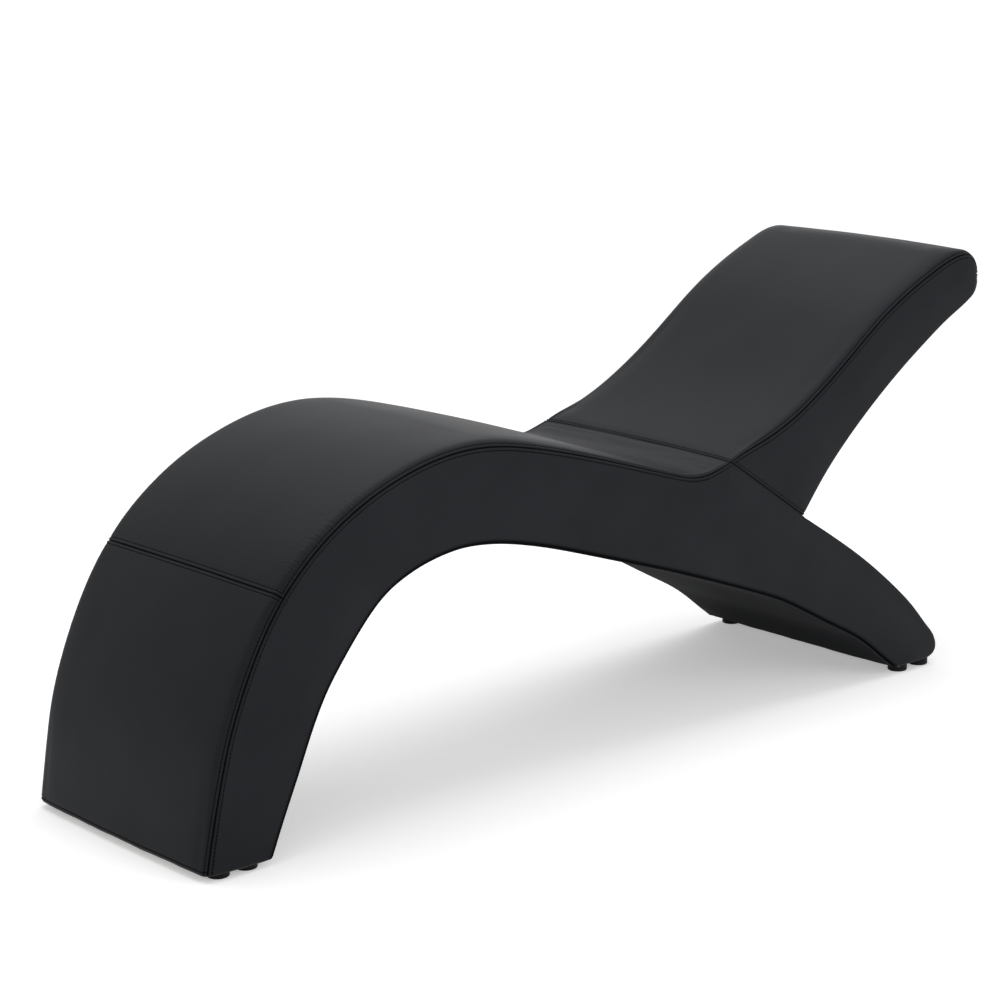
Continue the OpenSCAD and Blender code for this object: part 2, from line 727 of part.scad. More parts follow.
module foot_board(points, x) {
    color(ply_colour) difference() {
        plate(points, 0, 2 * frame_y);
        at_foot_screws() wood_screw_hole();
        at_glides(x) glide_bore(0, glide_recess_h + glide_screw_l + bore_gap);
    }
}
module front_foot_board() {
    foot_board([
        [front_x[0], board_z], [front_x[1], board_top_z],
        [arch_x[1], board_top_z], [arch_x[0], board_z]], front_glide_x);
}
module rear_foot_board() {
    foot_board([
        [sole_x[0], board_z], [sole_x[1], board_top_z],
        [heel_x, board_top_z], [heel_x, board_z]], rear_glide_x);
}
module dust_cloth(x0, x1, x) {
    color(cloth_colour) difference() {
        translate([x0, -frame_y, foot_z]) cube([x1 - x0, 2 * frame_y, dust_cloth_t]);
        at_glides(x) glide_bore(0, overrun);
    }
}
module front_dust_cloth() {
    dust_cloth(front_x[2], arch_x[2], front_glide_x);
}
module rear_dust_cloth() {
    dust_cloth(sole_x[2], heel_x, rear_glide_x);
}
module base_mount_board() {
    color(ply_colour) difference() {
        joint_board(mount_s0, mount_s1, -board_t, board_t, 0);
        at_bolts(0) bolt_bore(-overrun, overrun);
        at_bolts(-board_t) nut_bore();
        at_base_joint_screws() wood_screw_hole();
    }
}
module back_mount_board() {
    color(ply_colour) difference() {
        joint_board(back_mount_s0, back_mount_s1, fit_gap, board_t, 0);
        at_bolts(0) bolt_bore(-overrun, overrun);
        at_back_joint_screws() wood_screw_hole();
    }
}

// Bolts from inside the backrest into driven nuts under the board of the base
washer_h = board_t + fit_gap;
bolt_h = washer_h + washer_t;
module bolt_bore(from, to) {
    $fn = 32;
    translate([0, 0, from]) cylinder(d = bolt_d + 2 * bore_gap, h = to - from);
}
module nut_bore() {
    $fn = 32;
    translate([0, 0, -overrun])
        cylinder(d = nut_barrel_d + 2 * bore_gap, h = nut_barrel_l + overrun + bore_gap);
}
module back_bolts() {
    color(steel_colour) at_bolts(bolt_h) {
        cylinder(d = bolt_head_w / cos(30), h = bolt_head_t, $fn = 6);
        translate([0, 0, -bolt_h - board_t - nut_flange_t - bolt_end])
            cylinder(d = bolt_d, h = bolt_h + board_t + nut_flange_t + bolt_end + bolt_head_t / 2, $fn = 32);
    }
}
module bolt_washers() {
    color(steel_colour) at_bolts(washer_h) difference() {
        cylinder(d = washer_d, h = washer_t, $fn = 40);
        bolt_bore(-overrun, overrun);
    }
}
module driven_nuts() {
    color(steel_colour) at_bolts(-board_t) difference() {
        union() {
            translate([0, 0, -nut_flange_t]) cylinder(d = nut_flange_d, h = nut_flange_t, $fn = 40);
            translate([0, 0, -nut_flange_t / 2])
                cylinder(d = nut_barrel_d, h = nut_barrel_l + nut_flange_t / 2, $fn = 32);
        }
        bolt_bore(-overrun, overrun);
    }
}
module rail_screws() {
    color(steel_colour) {
        at_base_rails() wood_screw();
        at_back_rails() wood_screw();
    }
}
module board_screws() {
    color(steel_colour) {
        at_base_joint_screws() wood_screw();
        at_back_joint_screws() wood_screw();
        at_foot_screws() wood_screw();
    }
}

// Glides
module glide() {
    $fn = 64;
    difference() {
        rotate_extrude() polygon([
            [0, 0], [glide_d / 2 - glide_edge, 0], [glide_d / 2, glide_edge],
            [glide_d / 2, glide_h], [0, glide_h]]);
        glide_bore(-overrun, overrun);
        translate([0, 0, -overrun]) cylinder(d = glide_recess_d, h = glide_recess_h + overrun);
    }
}
module glides() {
    color(glide_colour) at_glides(concat(front_glide_x, rear_glide_x)) glide();
}
module glide_screws() {
    color(steel_colour) at_glides(concat(front_glide_x, rear_glide_x)) glide_screw();
}

shin_cover();
knee_seat_cover();
base_side_cover_left();
base_side_cover_right();
arch_cover();
rear_leg_cover();
back_front_cover();
back_rear_cover();
back_side_cover_left();
back_side_cover_right();
front_dust_cloth();
rear_dust_cloth();
leg_foam();
seat_foam();
base_side_foam_left();
base_side_foam_right();
arch_foam();
rear_leg_foam();
back_front_foam();
head_foam();
back_rear_foam();
back_side_foam_left();
back_side_foam_right();
leg_deck();
seat_deck();
arch_deck();
rear_leg_deck();
back_front_deck();
back_rear_deck();
base_rib_left();
base_rib_middle();
base_rib_right();
back_rib_left();
back_rib_middle();
back_rib_right();
front_foot_board();
rear_foot_board();
base_mount_board();
back_mount_board();
shin_rails();
knee_rails();
seat_rails();
rear_leg_rails();
back_rails();
head_rails();
rail_screws();
board_screws();
back_bolts();
bolt_washers();
driven_nuts();
glides();
glide_screws();
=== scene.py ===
"""Looks of an upholstered spa relaxation lounger, built round its packed construction."""

import json
import logging
import math
from contextlib import contextmanager
from dataclasses import dataclass
from enum import Enum
from typing import Any, Callable, Iterator, Sequence

import bmesh
import bpy
import numpy as np
from mathutils import Matrix, Vector

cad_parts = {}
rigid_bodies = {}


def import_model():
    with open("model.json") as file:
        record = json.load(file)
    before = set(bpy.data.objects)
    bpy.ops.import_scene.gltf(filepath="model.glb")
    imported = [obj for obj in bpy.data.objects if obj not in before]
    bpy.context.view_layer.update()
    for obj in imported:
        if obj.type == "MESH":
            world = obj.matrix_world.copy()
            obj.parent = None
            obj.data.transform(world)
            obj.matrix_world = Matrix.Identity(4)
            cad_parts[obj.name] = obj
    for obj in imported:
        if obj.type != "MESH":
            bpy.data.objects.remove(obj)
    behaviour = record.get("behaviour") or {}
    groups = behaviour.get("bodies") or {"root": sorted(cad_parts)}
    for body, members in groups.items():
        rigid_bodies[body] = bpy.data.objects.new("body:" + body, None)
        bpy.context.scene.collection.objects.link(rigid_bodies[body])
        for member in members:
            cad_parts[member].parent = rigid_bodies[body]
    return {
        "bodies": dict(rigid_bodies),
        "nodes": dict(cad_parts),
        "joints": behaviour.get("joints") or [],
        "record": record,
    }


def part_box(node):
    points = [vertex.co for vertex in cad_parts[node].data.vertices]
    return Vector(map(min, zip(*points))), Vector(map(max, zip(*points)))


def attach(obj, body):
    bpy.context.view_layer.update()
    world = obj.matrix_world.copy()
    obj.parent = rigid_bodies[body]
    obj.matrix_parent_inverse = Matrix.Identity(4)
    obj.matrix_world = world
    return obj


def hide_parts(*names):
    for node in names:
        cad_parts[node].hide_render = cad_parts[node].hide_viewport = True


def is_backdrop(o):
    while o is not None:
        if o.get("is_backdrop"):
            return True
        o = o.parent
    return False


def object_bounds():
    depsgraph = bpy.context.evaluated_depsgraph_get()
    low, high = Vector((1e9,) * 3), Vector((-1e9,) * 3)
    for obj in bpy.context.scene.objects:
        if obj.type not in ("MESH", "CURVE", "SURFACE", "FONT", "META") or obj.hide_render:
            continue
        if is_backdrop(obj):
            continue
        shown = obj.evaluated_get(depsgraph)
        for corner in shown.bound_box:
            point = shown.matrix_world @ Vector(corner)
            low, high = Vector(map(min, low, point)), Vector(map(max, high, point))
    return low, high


logging.basicConfig(level=logging.INFO, format="%(message)s")
log = logging.getLogger("lounger")

MM = 0.001
MIDDLE = math.pi / 4
ROOT = "root"
SIDES = {"left": -1, "right": 1}
WHITE = (1, 1, 1, 1)
Array = np.ndarray
Socket = bpy.types.NodeSocket
Pair = tuple[float, float]
Triple = tuple[float, float, float]
Course = Callable[[Array], Array]
Pattern = tuple[Socket, Socket, Socket]


class Turn(Enum):
    """Which way the inside of the lounger lies from a line of its side view."""

    RIGHT = -1
    LEFT = 1


class Edging(Enum):
    """How a cover is finished along an edge."""

    TOPSTITCHED = "topstitched"
    ROLLED = "rolled"
    HEMMED = "hemmed"


STITCHED, ROLLED, HEMMED = Edging


class Slot(Enum):
    """Material slots of the record."""

    UPHOLSTERY = "upholstery"
    DUST_CLOTH = "dust_cloth"
    FOAM = "foam"
    PLYWOOD = "plywood"
    RAIL_WOOD = "rail_wood"
    STEEL = "zinc_steel"
    GLIDE = "glide_plastic"


@dataclass(frozen=True)
class SeamShape:
    """Cross-section of a sewn edge, in metres."""

    groove_depth: float = 1.8 * MM
    groove_width: float = 1.4 * MM
    # Width of the shade painted into the groove
    groove_painted_shade: float = 1.35 * MM
    welt_height: float = 0.85 * MM
    welt_place: float = 3.8 * MM
    welt_width: float = 2.1 * MM
    stitch_place: float = 6.8 * MM
    dent_depth: float = 1.2 * MM
    dent_width: float = 1.1 * MM
    # Strength of the shade painted into the stitch dent
    dent_painted_shade: float = 0.45
    roll_height: float = 0.9 * MM
    roll_place: float = 2.9 * MM
    roll_width: float = 1.7 * MM
    tuck_depth: float = 0.9 * MM
    tuck_width: float = 22 * MM
    deepest_share: float = 1.4

    def relief(self, distance: Array, edging: Edging) -> Array:
        """Height of the cover beside an edge.

        Args:
            distance: Distances from the edge.
            edging: How the edge is finished.

        Returns:
            Heights along the outward way, below zero where the cover dips.
        """
        if edging is HEMMED:
            return np.zeros_like(distance)
        groove = -self.groove_depth * hump(distance, 0, self.groove_width)
        tuck = self.tuck_depth * np.exp(-distance / self.tuck_width)
        if edging is STITCHED:
            welt = self.welt_height * hump(distance, self.welt_place, self.welt_width)
            dent = self.dent_depth * hump(distance, self.stitch_place, self.dent_width)
            return groove + welt - dent - tuck
        roll = self.roll_height * hump(distance, self.roll_place, self.roll_width)
        return groove + roll - tuck / 2

    def shade(self, distance: Array, edging: Edging) -> Array:
        """How much shade is painted onto the cover beside an edge, in the seam's groove and stitch
        dent.

        Args:
            distance: Distances from the edge.
            edging: How the edge is finished.

        Returns:
            Values from zero in the open to one in the groove.
        """
        if edging is HEMMED:
            return np.zeros_like(distance)
        dark = hump(distance, 0, self.groove_painted_shade)
        if edging is STITCHED:
            dent = hump(distance, self.stitch_place, self.dent_width)
            dark = np.maximum(dark, self.dent_painted_shade * dent)
        return dark

    @property
    def deepest(self) -> float:
        """The lowest height that seams which meet may reach together."""
        return -self.deepest_share * self.groove_depth


SEAM = SeamShape()
# Columns of a cover beside its edge: close where the seam is, then wider
NEAR_STITCHED = MM * np.array([
    0, 0.7, 1.4, 2.1, 2.9, 3.7, 4.6, 5.5, 6.2, 6.8, 7.4, 8.2, 9.5, 11.5, 14, 17.5, 22, 27, 33, 40])
NEAR_ROLLED = MM * np.array([0, 0.8, 1.6, 2.4, 3.2, 4.2, 5.5, 7.5, 10.5, 15, 21, 29])
NEAR_HEM = MM * np.array([0, 0.6, 1.3, 2.1, 3.1, 4.3, 5.6, 6.8, 7.8, 8.7, 9.6, 10.6, 12, 14])
STITCH_COLUMN = int(np.argmin(abs(NEAR_STITCHED - SEAM.stitch_place)))
# Rows of a cover beside an end of it
CLOSE_ROWS = {STITCHED: NEAR_STITCHED[:14], ROLLED: NEAR_ROLLED[:9], HEMMED: NEAR_HEM}


@dataclass(frozen=True)
class Sizes:
    """Driving sizes of the upholstery in metres, and its outline as shares of the frame's box."""

    length: float
    width: float
    height: float
    front_hem: float = 10 * MM
    rear_hem: float = 14 * MM
    crown: float = 4 * MM
    under_crown: float = 1.5 * MM
    side_crown: float = 3 * MM
    side_crown_run: float = 75 * MM
    top_radius: float = 20 * MM
    rear_radius: float = 10 * MM
    under_radius: float = 4 * MM
    corner_radius: float = 3 * MM
    corner_run: float = 110 * MM
    joint_edge: float = 1.5 * MM
    head_radius: float = 55 * MM
    heel_radius: float = 28 * MM
    hem_radius: float = 7 * MM
    cover_thickness: float = 1.3 * MM
    lying_shares: tuple[Pair, ...] = (
        (0.008, 0.096), (0.018, 0.218), (0.044, 0.380), (0.085, 0.535),
        (0.144, 0.657), (0.228, 0.746), (0.312, 0.773), (0.397, 0.739),
        (0.484, 0.676), (0.558, 0.617), (0.602, 0.596), (0.632, 0.611),
    )
    arch_shares: tuple[Pair, ...] = (
        (0.0855, 0.080), (0.106, 0.180), (0.135, 0.314), (0.168, 0.413), (0.204, 0.493),
        (0.249, 0.539), (0.298, 0.555), (0.360, 0.536), (0.448, 0.475), (0.521, 0.418),
        (0.560, 0.387), (0.592, 0.360), (0.628, 0.329), (0.664, 0.297), (0.700, 0.263),
        (0.743, 0.211), (0.783, 0.160), (0.818, 0.114), (0.842, 0.073), (0.856, 0.047),
    )
    leg_shares: tuple[Pair, ...] = (
        (0.736, 0.445), (0.7825, 0.376), (0.830, 0.300),
        (0.871, 0.224), (0.905, 0.151), (0.9255, 0.098),
    )
    front_shares: tuple[Pair, ...] = (
        (0.664, 0.638), (0.699, 0.671), (0.736, 0.714), (0.772, 0.765),
        (0.809, 0.824), (0.846, 0.882), (0.886, 0.932), (0.927, 0.973),
    )
    rear_shares: tuple[Pair, ...] = (
        (0.7485, 0.481), (0.768, 0.532), (0.793, 0.587), (0.821, 0.641),
        (0.852, 0.695), (0.885, 0.747), (0.918, 0.794), (0.9495, 0.835),
    )
    toe_share: float = 0.0725
    heel_share: float = 0.924
    sole_share: float = 0.873
    heel_angles: tuple[float, ...] = (25, -10, -45, -75)
    head_angles: tuple[float, ...] = (90, 70, 50, 30, 10, -10, -30, -45, -60)
    nose_index: float = 4.5
    knee_index: int = 4
    knee_rise: float = 14 * MM
    seam_angle: float = math.radians(20)
    seam_angle_runs: Pair = (200 * MM, 550 * MM)
    seam_angle_lead: float = 50 * MM
    joint_spans: int = 3
    sole_spans: int = 4

    def hem_height(self, x: Array) -> Array:
        """Height of the hem over the floor, at the front foot or at the rear foot."""
        return np.where(x < 0, self.front_hem, self.rear_hem)

    @property
    def seam_y(self) -> float:
        """Half width at the seams."""
        return self.width / 2 - self.side_crown

    def at(self, share: Pair) -> Array:
        """Point of the side view at a share of the length and of the height."""
        return np.array([(share[0] - 0.5) * self.length, share[1] * self.height])


def hump(value: Array, place: float, width: float) -> Array:
    """A smooth hump of height one."""
    return np.exp(-(((value - place) / width) ** 2))


def unit(vectors: Array) -> Array:
    """Vectors of length one, along the last axis."""
    return vectors / np.maximum(np.linalg.norm(vectors, axis=-1, keepdims=True), 1e-12)


def eased(value: Array) -> Array:
    """A smooth step from zero to one."""
    held = np.clip(value, 0, 1)
    return held * held * (3 - 2 * held)


def spaced(start: float, stop: float, pitch: float) -> Array:
    """Even places from start to stop, about a pitch apart."""
    return np.linspace(start, stop, max(2, round(abs(stop - start) / pitch) + 1))


def square_to(ways: Array, turn: Turn) -> Array:
    """Unit vectors that point inside from a line with these tangents."""
    return turn.value * np.stack([-ways[..., 1], ways[..., 0]], axis=-1)


def running(gaps: Array) -> Array:
    """Running total of gaps, from zero."""
    return np.concatenate([[0], np.cumsum(gaps)])


def steady(value: float) -> Course:
    """A course along a line that keeps one value."""
    return lambda s: np.full(np.shape(s), value)


def above_floor(height: Array, floor: Array) -> Array:
    """Heights eased so that none lies lower than the hem."""
    margin = 2 * MM
    low = floor + margin * np.exp(np.minimum(height - floor - margin, 0) / margin)
    return np.where(height < floor + margin, low, height)


def wander(a: Array, b: Array, seed: float) -> Array:
    """A smooth wandering value from a few fixed waves.

    Args:
        a: Places one way, in radians of the longest wave.
        b: Places the other way.
        seed: Shifts the waves.

    Returns:
        Values between about -1 and 1.
    """
    return (
        np.sin(a + 2.1 * np.sin(b * 0.7 + seed))
        + 0.6 * np.sin(a * 2.3 - b * 1.9 + 3.7 * seed)
        + 0.4 * np.sin(b * 3.1 + a * 0.6 + 1.3 * seed)
    ) / 2


def rumpled(distance: Array, a: Array, b: Array, seed: float) -> Array:
    """Heights of a cover's slight unevenness, which fades out at its seams."""
    height, fade = 0.5 * MM, 30 * MM
    return height * (1 - np.exp(-distance / fade)) * wander(a, b, seed)


@dataclass(frozen=True)
class Puckers:
    """Fine folds square to a seam, which fade away from it."""

    height: float = 0.42 * MM
    lengths: Triple = (13.7 * MM, 22.3 * MM, 41 * MM)
    slants: Pair = (0.35, -0.5)
    start: float = 3.5 * MM
    fade: float = 16 * MM
    span_fade: float = 120 * MM

    def relief(self, run: Array, distance: Array) -> Array:
        """Heights of the folds at full strength.

        Args:
            run: Places along the seam, in metres.
            distance: Distances from the seam.

        Returns:
            The heights.
        """
        long, short, wide = (
            (run + slant * distance) * 2 * math.pi / length
            for slant, length in zip((self.slants[0], *self.slants), self.lengths))
        waves = (
            0.5 * np.sin(long + 2.5 * np.sin(run * 37))
            + 0.35 * np.sin(short + 1.7 * np.sin(run * 23 + 1))
            + 0.3 * np.sin(wide + 2))
        patchy = 0.55 + 0.45 * np.sin(run * 31 + 2 * np.sin(run * 13))
        shown_at = np.exp(-distance / self.fade) * (1 - np.exp(-((distance / self.start) ** 2)))
        return self.height * waves * patchy * shown_at

    def strength(self, run: Array, span: Pair, rest: float) -> Array:
        """How strongly a cover is gathered at places along a line.

        Args:
            run: The places.
            span: Where the full gathering starts and stops.
            rest: What is left of it elsewhere.

        Returns:
            Values up to one.
        """
        after, before = ((gap / self.span_fade + 0.5) for gap in (run - span[0], span[1] - run))
        return rest + (1 - rest) * eased(after) * eased(before)


PUCKERS = Puckers()


class SmoothLine:
    """A natural cubic spline through control points of the side view, by chord length."""

    def __init__(self, points: Sequence[Array]) -> None:
        """Solves the spline.

        Args:
            points: The control points in order.
        """
        self.points = np.array(points, float)
        steps = np.diff(self.points, axis=0)
        gaps = np.linalg.norm(steps, axis=1)
        self.knots = running(gaps)
        self.length = float(self.knots[-1])
        count = len(self.points)
        matrix, right = np.eye(count), np.zeros((count, 2))
        slopes = steps / gaps[:, None]
        for i in range(1, count - 1):
            matrix[i, i - 1:i + 2] = [gaps[i - 1], 2 * (gaps[i - 1] + gaps[i]), gaps[i]]
            right[i] = 6 * (slopes[i] - slopes[i - 1])
        self.bends = np.linalg.solve(matrix, right)

    def at(self, s: Array) -> Array:
        """Points of the line.

        Args:
            s: Distances along the chords.

        Returns:
            The points there.
        """
        s = np.clip(s, 0, self.length)
        span = np.clip(np.searchsorted(self.knots, s, side="right") - 1, 0, len(self.knots) - 2)
        width = (self.knots[span + 1] - self.knots[span])[..., None]
        to_end, to_start = (self.knots[span + 1] - s)[..., None], (s - self.knots[span])[..., None]
        a, b = self.points[span], self.points[span + 1]
        ka, kb = self.bends[span], self.bends[span + 1]
        return (
            (ka * to_end**3 + kb * to_start**3) / (6 * width)
            + (a / width - ka * width / 6) * to_end
            + (b / width - kb * width / 6) * to_start
        )

    def ways(self, s: Array) -> Array:
        """Unit tangents at distances along the chords."""
        step = 0.5 * MM
        return unit(self.at(np.minimum(s + step, self.length)) - self.at(np.maximum(s - step, 0)))

    @property
    def last(self) -> int:
        """Number of the last control point."""
        return len(self.knots) - 1

    def between_knots(self, t: Array) -> Array:
        """Distances along the chords at places counted in control points."""
        return np.interp(t, np.arange(len(self.knots)), self.knots)

    def at_knots(self, t: Array) -> Array:
        """Points at places counted in control points."""
        return self.at(self.between_knots(t))


@dataclass(frozen=True)
class Rim:
    """A line of the side view with the rounded edge along it and the seam on that edge."""

    line: SmoothLine
    turn: Turn
    radius: Course
    angle: Course

    @property
    def whole(self) -> Pair:
        """Where the line starts and stops."""
        return 0.0, self.line.length

    def seam(self, s: Array) -> tuple[Array, Array]:
        """Points of the seam, and the inward ways, at distances along the line."""
        inside = square_to(self.line.ways(s), self.turn)
        depth = self.radius(s) * (1 - np.sin(self.angle(s)))
        return self.line.at(s) + depth[:, None] * inside, inside


class Outline:
    """The lounger's lines in the side view, and the rims of its covers."""

    def __init__(self, sizes: Sizes) -> None:
        """Lays out the lines.

        Args:
            sizes: The lounger's sizes.
        """
        self.sizes = sizes
        toe, arch_toe = sizes.at((0, 0)), sizes.at((sizes.toe_share, 0))
        sole_end, heel = sizes.at((sizes.sole_share, 0)), sizes.at((sizes.heel_share, 0))
        toe += (sizes.crown, sizes.front_hem)
        arch_toe[1], sole_end[1] = sizes.front_hem, sizes.rear_hem
        heel[1] = sizes.rear_hem - sizes.heel_radius * math.sin(math.radians(sizes.heel_angles[-1]))
        self.head = sizes.at((1, 1)) - sizes.crown - sizes.head_radius
        self.corner, self.notch = sizes.at(sizes.lying_shares[-1]), sizes.at(sizes.leg_shares[0])
        self.foot = (self.corner + self.notch) / 2
        self.lying = SmoothLine([toe, *map(sizes.at, sizes.lying_shares)])
        hollow = [arch_toe, *map(sizes.at, sizes.arch_shares)]
        sole = np.linspace(hollow[-1], sole_end, sizes.sole_spans + 1)[1:]
        self.arch = SmoothLine([*hollow, *sole])
        self.leg = SmoothLine([
            *map(sizes.at, sizes.leg_shares),
            *self._arc(heel, sizes.heel_radius, sizes.heel_angles)])
        self.joint = SmoothLine([self.corner, self.foot, self.notch])
        front = [self.corner, *map(sizes.at, sizes.front_shares)]
        rounding = self._arc(self.head, sizes.head_radius, sizes.head_angles)
        rear = [*map(sizes.at, sizes.rear_shares[::-1]), self.notch]
        self.back = SmoothLine([*front, *rounding, *rear])
        self.head_start = float(self.back.knots[len(front)])
        self.head_nose = float(self.back.between_knots(np.array(len(front) + sizes.nose_index)))
        self.head_end = float(self.back.knots[len(front) + len(rounding) - 1])
        self.knee = float(self.lying.knots[sizes.knee_index]) + sizes.knee_rise
        middle, end = steady(MIDDLE), steady(math.pi / 2)
        self.lying_rim = Rim(self.lying, Turn.RIGHT, self._lying_radius, self._lying_angle)
        self.back_rim = Rim(self.back, Turn.RIGHT, self._back_radius, self._back_angle)
        self.leg_rim = Rim(self.leg, Turn.RIGHT, steady(sizes.rear_radius), middle)
        self.arch_rim = Rim(self.arch, Turn.LEFT, steady(sizes.under_radius), middle)
        self.joint_rims = {
            turn: Rim(self.joint, turn, steady(sizes.joint_edge), end) for turn in Turn}

    @staticmethod
    def _arc(centre: Array, radius: float, angles: Sequence[float]) -> list[Array]:
        """Points of an arc in the side view, at angles in degrees."""
        turned = (math.radians(angle) for angle in angles)
        return [centre + radius * np.array([math.cos(a), math.sin(a)]) for a in turned]

    def _from_corner(self, distance: Array) -> Array:
        """Edge radius at a distance from the corner of the seat."""
        small = self.sizes.corner_radius
        return small + (self.sizes.top_radius - small) * eased(distance / self.sizes.corner_run)

    def _lying_radius(self, s: Array) -> Array:
        """Edge radius along the lying surface."""
        return self._from_corner(self.lying.length - s)

    def _back_radius(self, s: Array) -> Array:
        """Edge radius along the front, head and rear of the backrest."""
        thinner = eased((s - self.head_nose) / (self.head_end - self.head_nose))
        return self._from_corner(s) - (self.sizes.top_radius - self.sizes.rear_radius) * thinner

    def _lying_angle(self, s: Array) -> Array:
        """Where on the rounded edge the lying surface's seam runs: lower over shin and knee."""
        foot, seat = self.sizes.seam_angle_runs
        low = eased(s / foot) * eased((self.lying.length - s) / seat)
        return MIDDLE + (self.sizes.seam_angle - MIDDLE) * low

    def _back_angle(self, s: Array) -> Array:
        """Where on the rounded edge the backrest's seam runs: lower between seat and head."""
        foot = self.sizes.seam_angle_runs[0]
        head = self.head_nose - self.head_start + self.sizes.seam_angle_lead
        low = eased(s / foot) * eased((self.head_nose - s) / head)
        return MIDDLE + (self.sizes.seam_angle - MIDDLE) * low


def shown(name: str, data: bpy.types.ID) -> bpy.types.Object:
    """A new object of the scene.

    Args:
        name: Name of the object.
        data: Its mesh, camera or lamp.

    Returns:
        The object.
    """
    piece = bpy.data.objects.new(name, data)
    bpy.context.scene.collection.objects.link(piece)
    return piece


@contextmanager
def edited(mesh: bpy.types.Mesh) -> Iterator[bmesh.types.BMesh]:
    """Opens a mesh for changes and then writes them back.

    Args:
        mesh: The mesh.

    Yields:
        The mesh as it is changed.
    """
    bm = bmesh.new()
    bm.from_mesh(mesh)
    yield bm
    bm.to_mesh(mesh)
    bm.free()


def grid_mesh(name: str, places: Array) -> tuple[bpy.types.Mesh, Array]:
    """A mesh that starts as a flat grid and whose points then go to their places.

    Args:
        name: Name of the mesh.
        places: Place of each point, as rows by columns by three.

    Returns:
        The mesh, and for each of its points the place's number, counted row by row.
    """
    rows, columns = places.shape[:2]
    mesh = bpy.data.meshes.new(name)
    with edited(mesh) as bm:
        bmesh.ops.create_grid(bm, x_segments=rows - 1, y_segments=columns - 1, size=0.5)
    spots = np.zeros(len(mesh.vertices) * 3)
    mesh.vertices.foreach_get("co", spots)
    spots = spots.reshape(-1, 3) + 0.5
    row = np.rint(spots[:, 0] * (rows - 1)).astype(np.int64)
    index = row * columns + np.rint(spots[:, 1] * (columns - 1)).astype(np.int64)
    mesh.vertices.foreach_set("co", places.reshape(-1, 3)[index].ravel())
    mesh.shade_smooth()
    mesh.update()
    return mesh, index


def faces_along(mesh: bpy.types.Mesh, ways: Array) -> None:
    """Turns a mesh's faces to the side that its outward ways point to.

    Args:
        mesh: The mesh.
        ways: Outward way of each of its points.
    """
    normals = np.zeros(len(mesh.vertices) * 3)
    mesh.vertices.foreach_get("normal", normals)
    if (normals.reshape(-1, 3) * ways).sum() < 0:
        mesh.flip_normals()


@dataclass
class ClothSwell:
    """A cloth simulation of a cover on a coarse grid, pinned along its seams."""

    places: Array
    ways: Array
    cap: float
    pitch: float = 18 * MM
    fewest: int = 6
    pressure: float = 3.0
    stiffness: float = 25
    bending: float = 2
    damping: float = 4
    frames: int = 14

    def heights(self) -> Array:
        """Heights of the settled cloth over the cover.

        Returns:
            A height for each place of the cover.
        """
        reach, run = (
            running(np.linalg.norm(np.diff(self.places, axis=axis), axis=2).mean(axis=1 - axis))
            for axis in (1, 0))
        row, column = self._picked(run), self._picked(reach)
        start, ways = (values[np.ix_(row, column)] for values in (self.places, self.ways))
        moved = self._settled(start, ways) - start
        lift = np.clip((moved * ways).sum(axis=2), -self.cap, self.cap)
        lift[[0, -1]] = 0
        lift[:, [0, -1]] = 0
        across = np.array([self._smooth(reach, reach[column], line) for line in lift])
        return np.array([self._smooth(run, run[row], line) for line in across.T]).T

    def _picked(self, reach: Array) -> Array:
        """Numbers of the rows or columns that the coarse grid keeps."""
        wanted = np.linspace(0, reach[-1], max(self.fewest, int(reach[-1] / self.pitch)))
        return np.unique([int(np.argmin(abs(reach - w))) for w in wanted])

    @staticmethod
    def _smooth(at: Array, known: Array, values: Array) -> Array:
        """Values between known ones, without kinks.

        Args:
            at: Where they are wanted.
            known: Where they are known.
            values: The known values.

        Returns:
            The values at the wanted places.
        """
        slopes = np.gradient(values, known)
        span = np.clip(np.searchsorted(known, at, side="right") - 1, 0, len(known) - 2)
        width = known[span + 1] - known[span]
        t = (at - known[span]) / width
        ends = values[span] * (1 + 2 * t) * (1 - t) ** 2 + values[span + 1] * t * t * (3 - 2 * t)
        return ends + width * (slopes[span] * t * (1 - t) ** 2 - slopes[span + 1] * t * t * (1 - t))

    def _settled(self, start: Array, ways: Array) -> Array:
        """Where the cloth settles.

        Args:
            start: Its starting places.
            ways: Outward ways there.

        Returns:
            The settled places.
        """
        rows, columns = start.shape[:2]
        mesh, index = grid_mesh("cloth", start)
        faces_along(mesh, ways.reshape(-1, 3)[index])
        piece = shown("cloth", mesh)
        row, column = index // columns, index % columns
        edge = (row == 0) | (row == rows - 1) | (column == 0) | (column == columns - 1)
        piece.vertex_groups.new(name="pins").add([int(i) for i in np.nonzero(edge)[0]], 1.0, "ADD")
        cloth = piece.modifiers.new("cloth", "CLOTH")
        cloth.settings.vertex_group_mass = "pins"
        cloth.settings.use_pressure = True
        cloth.settings.uniform_pressure_force = self.pressure
        cloth.settings.effector_weights.gravity = 0
        cloth.settings.tension_stiffness = self.stiffness
        cloth.settings.compression_stiffness = self.stiffness
        cloth.settings.bending_stiffness = self.bending
        cloth.settings.air_damping = self.damping
        cloth.point_cache.frame_start = 1
        cloth.point_cache.frame_end = self.frames
        for frame in range(1, self.frames + 1):
            bpy.context.scene.frame_set(frame)
        evaluated = piece.evaluated_get(bpy.context.evaluated_depsgraph_get()).data
        spots = np.zeros(rows * columns * 3)
        evaluated.vertices.foreach_get("co", spots)
        settled = np.zeros((rows * columns, 3))
        settled[index] = spots.reshape(-1, 3)
        bpy.data.objects.remove(piece)
        bpy.data.meshes.remove(mesh)
        bpy.context.scene.frame_set(1)
        return settled.reshape(rows, columns, 3)


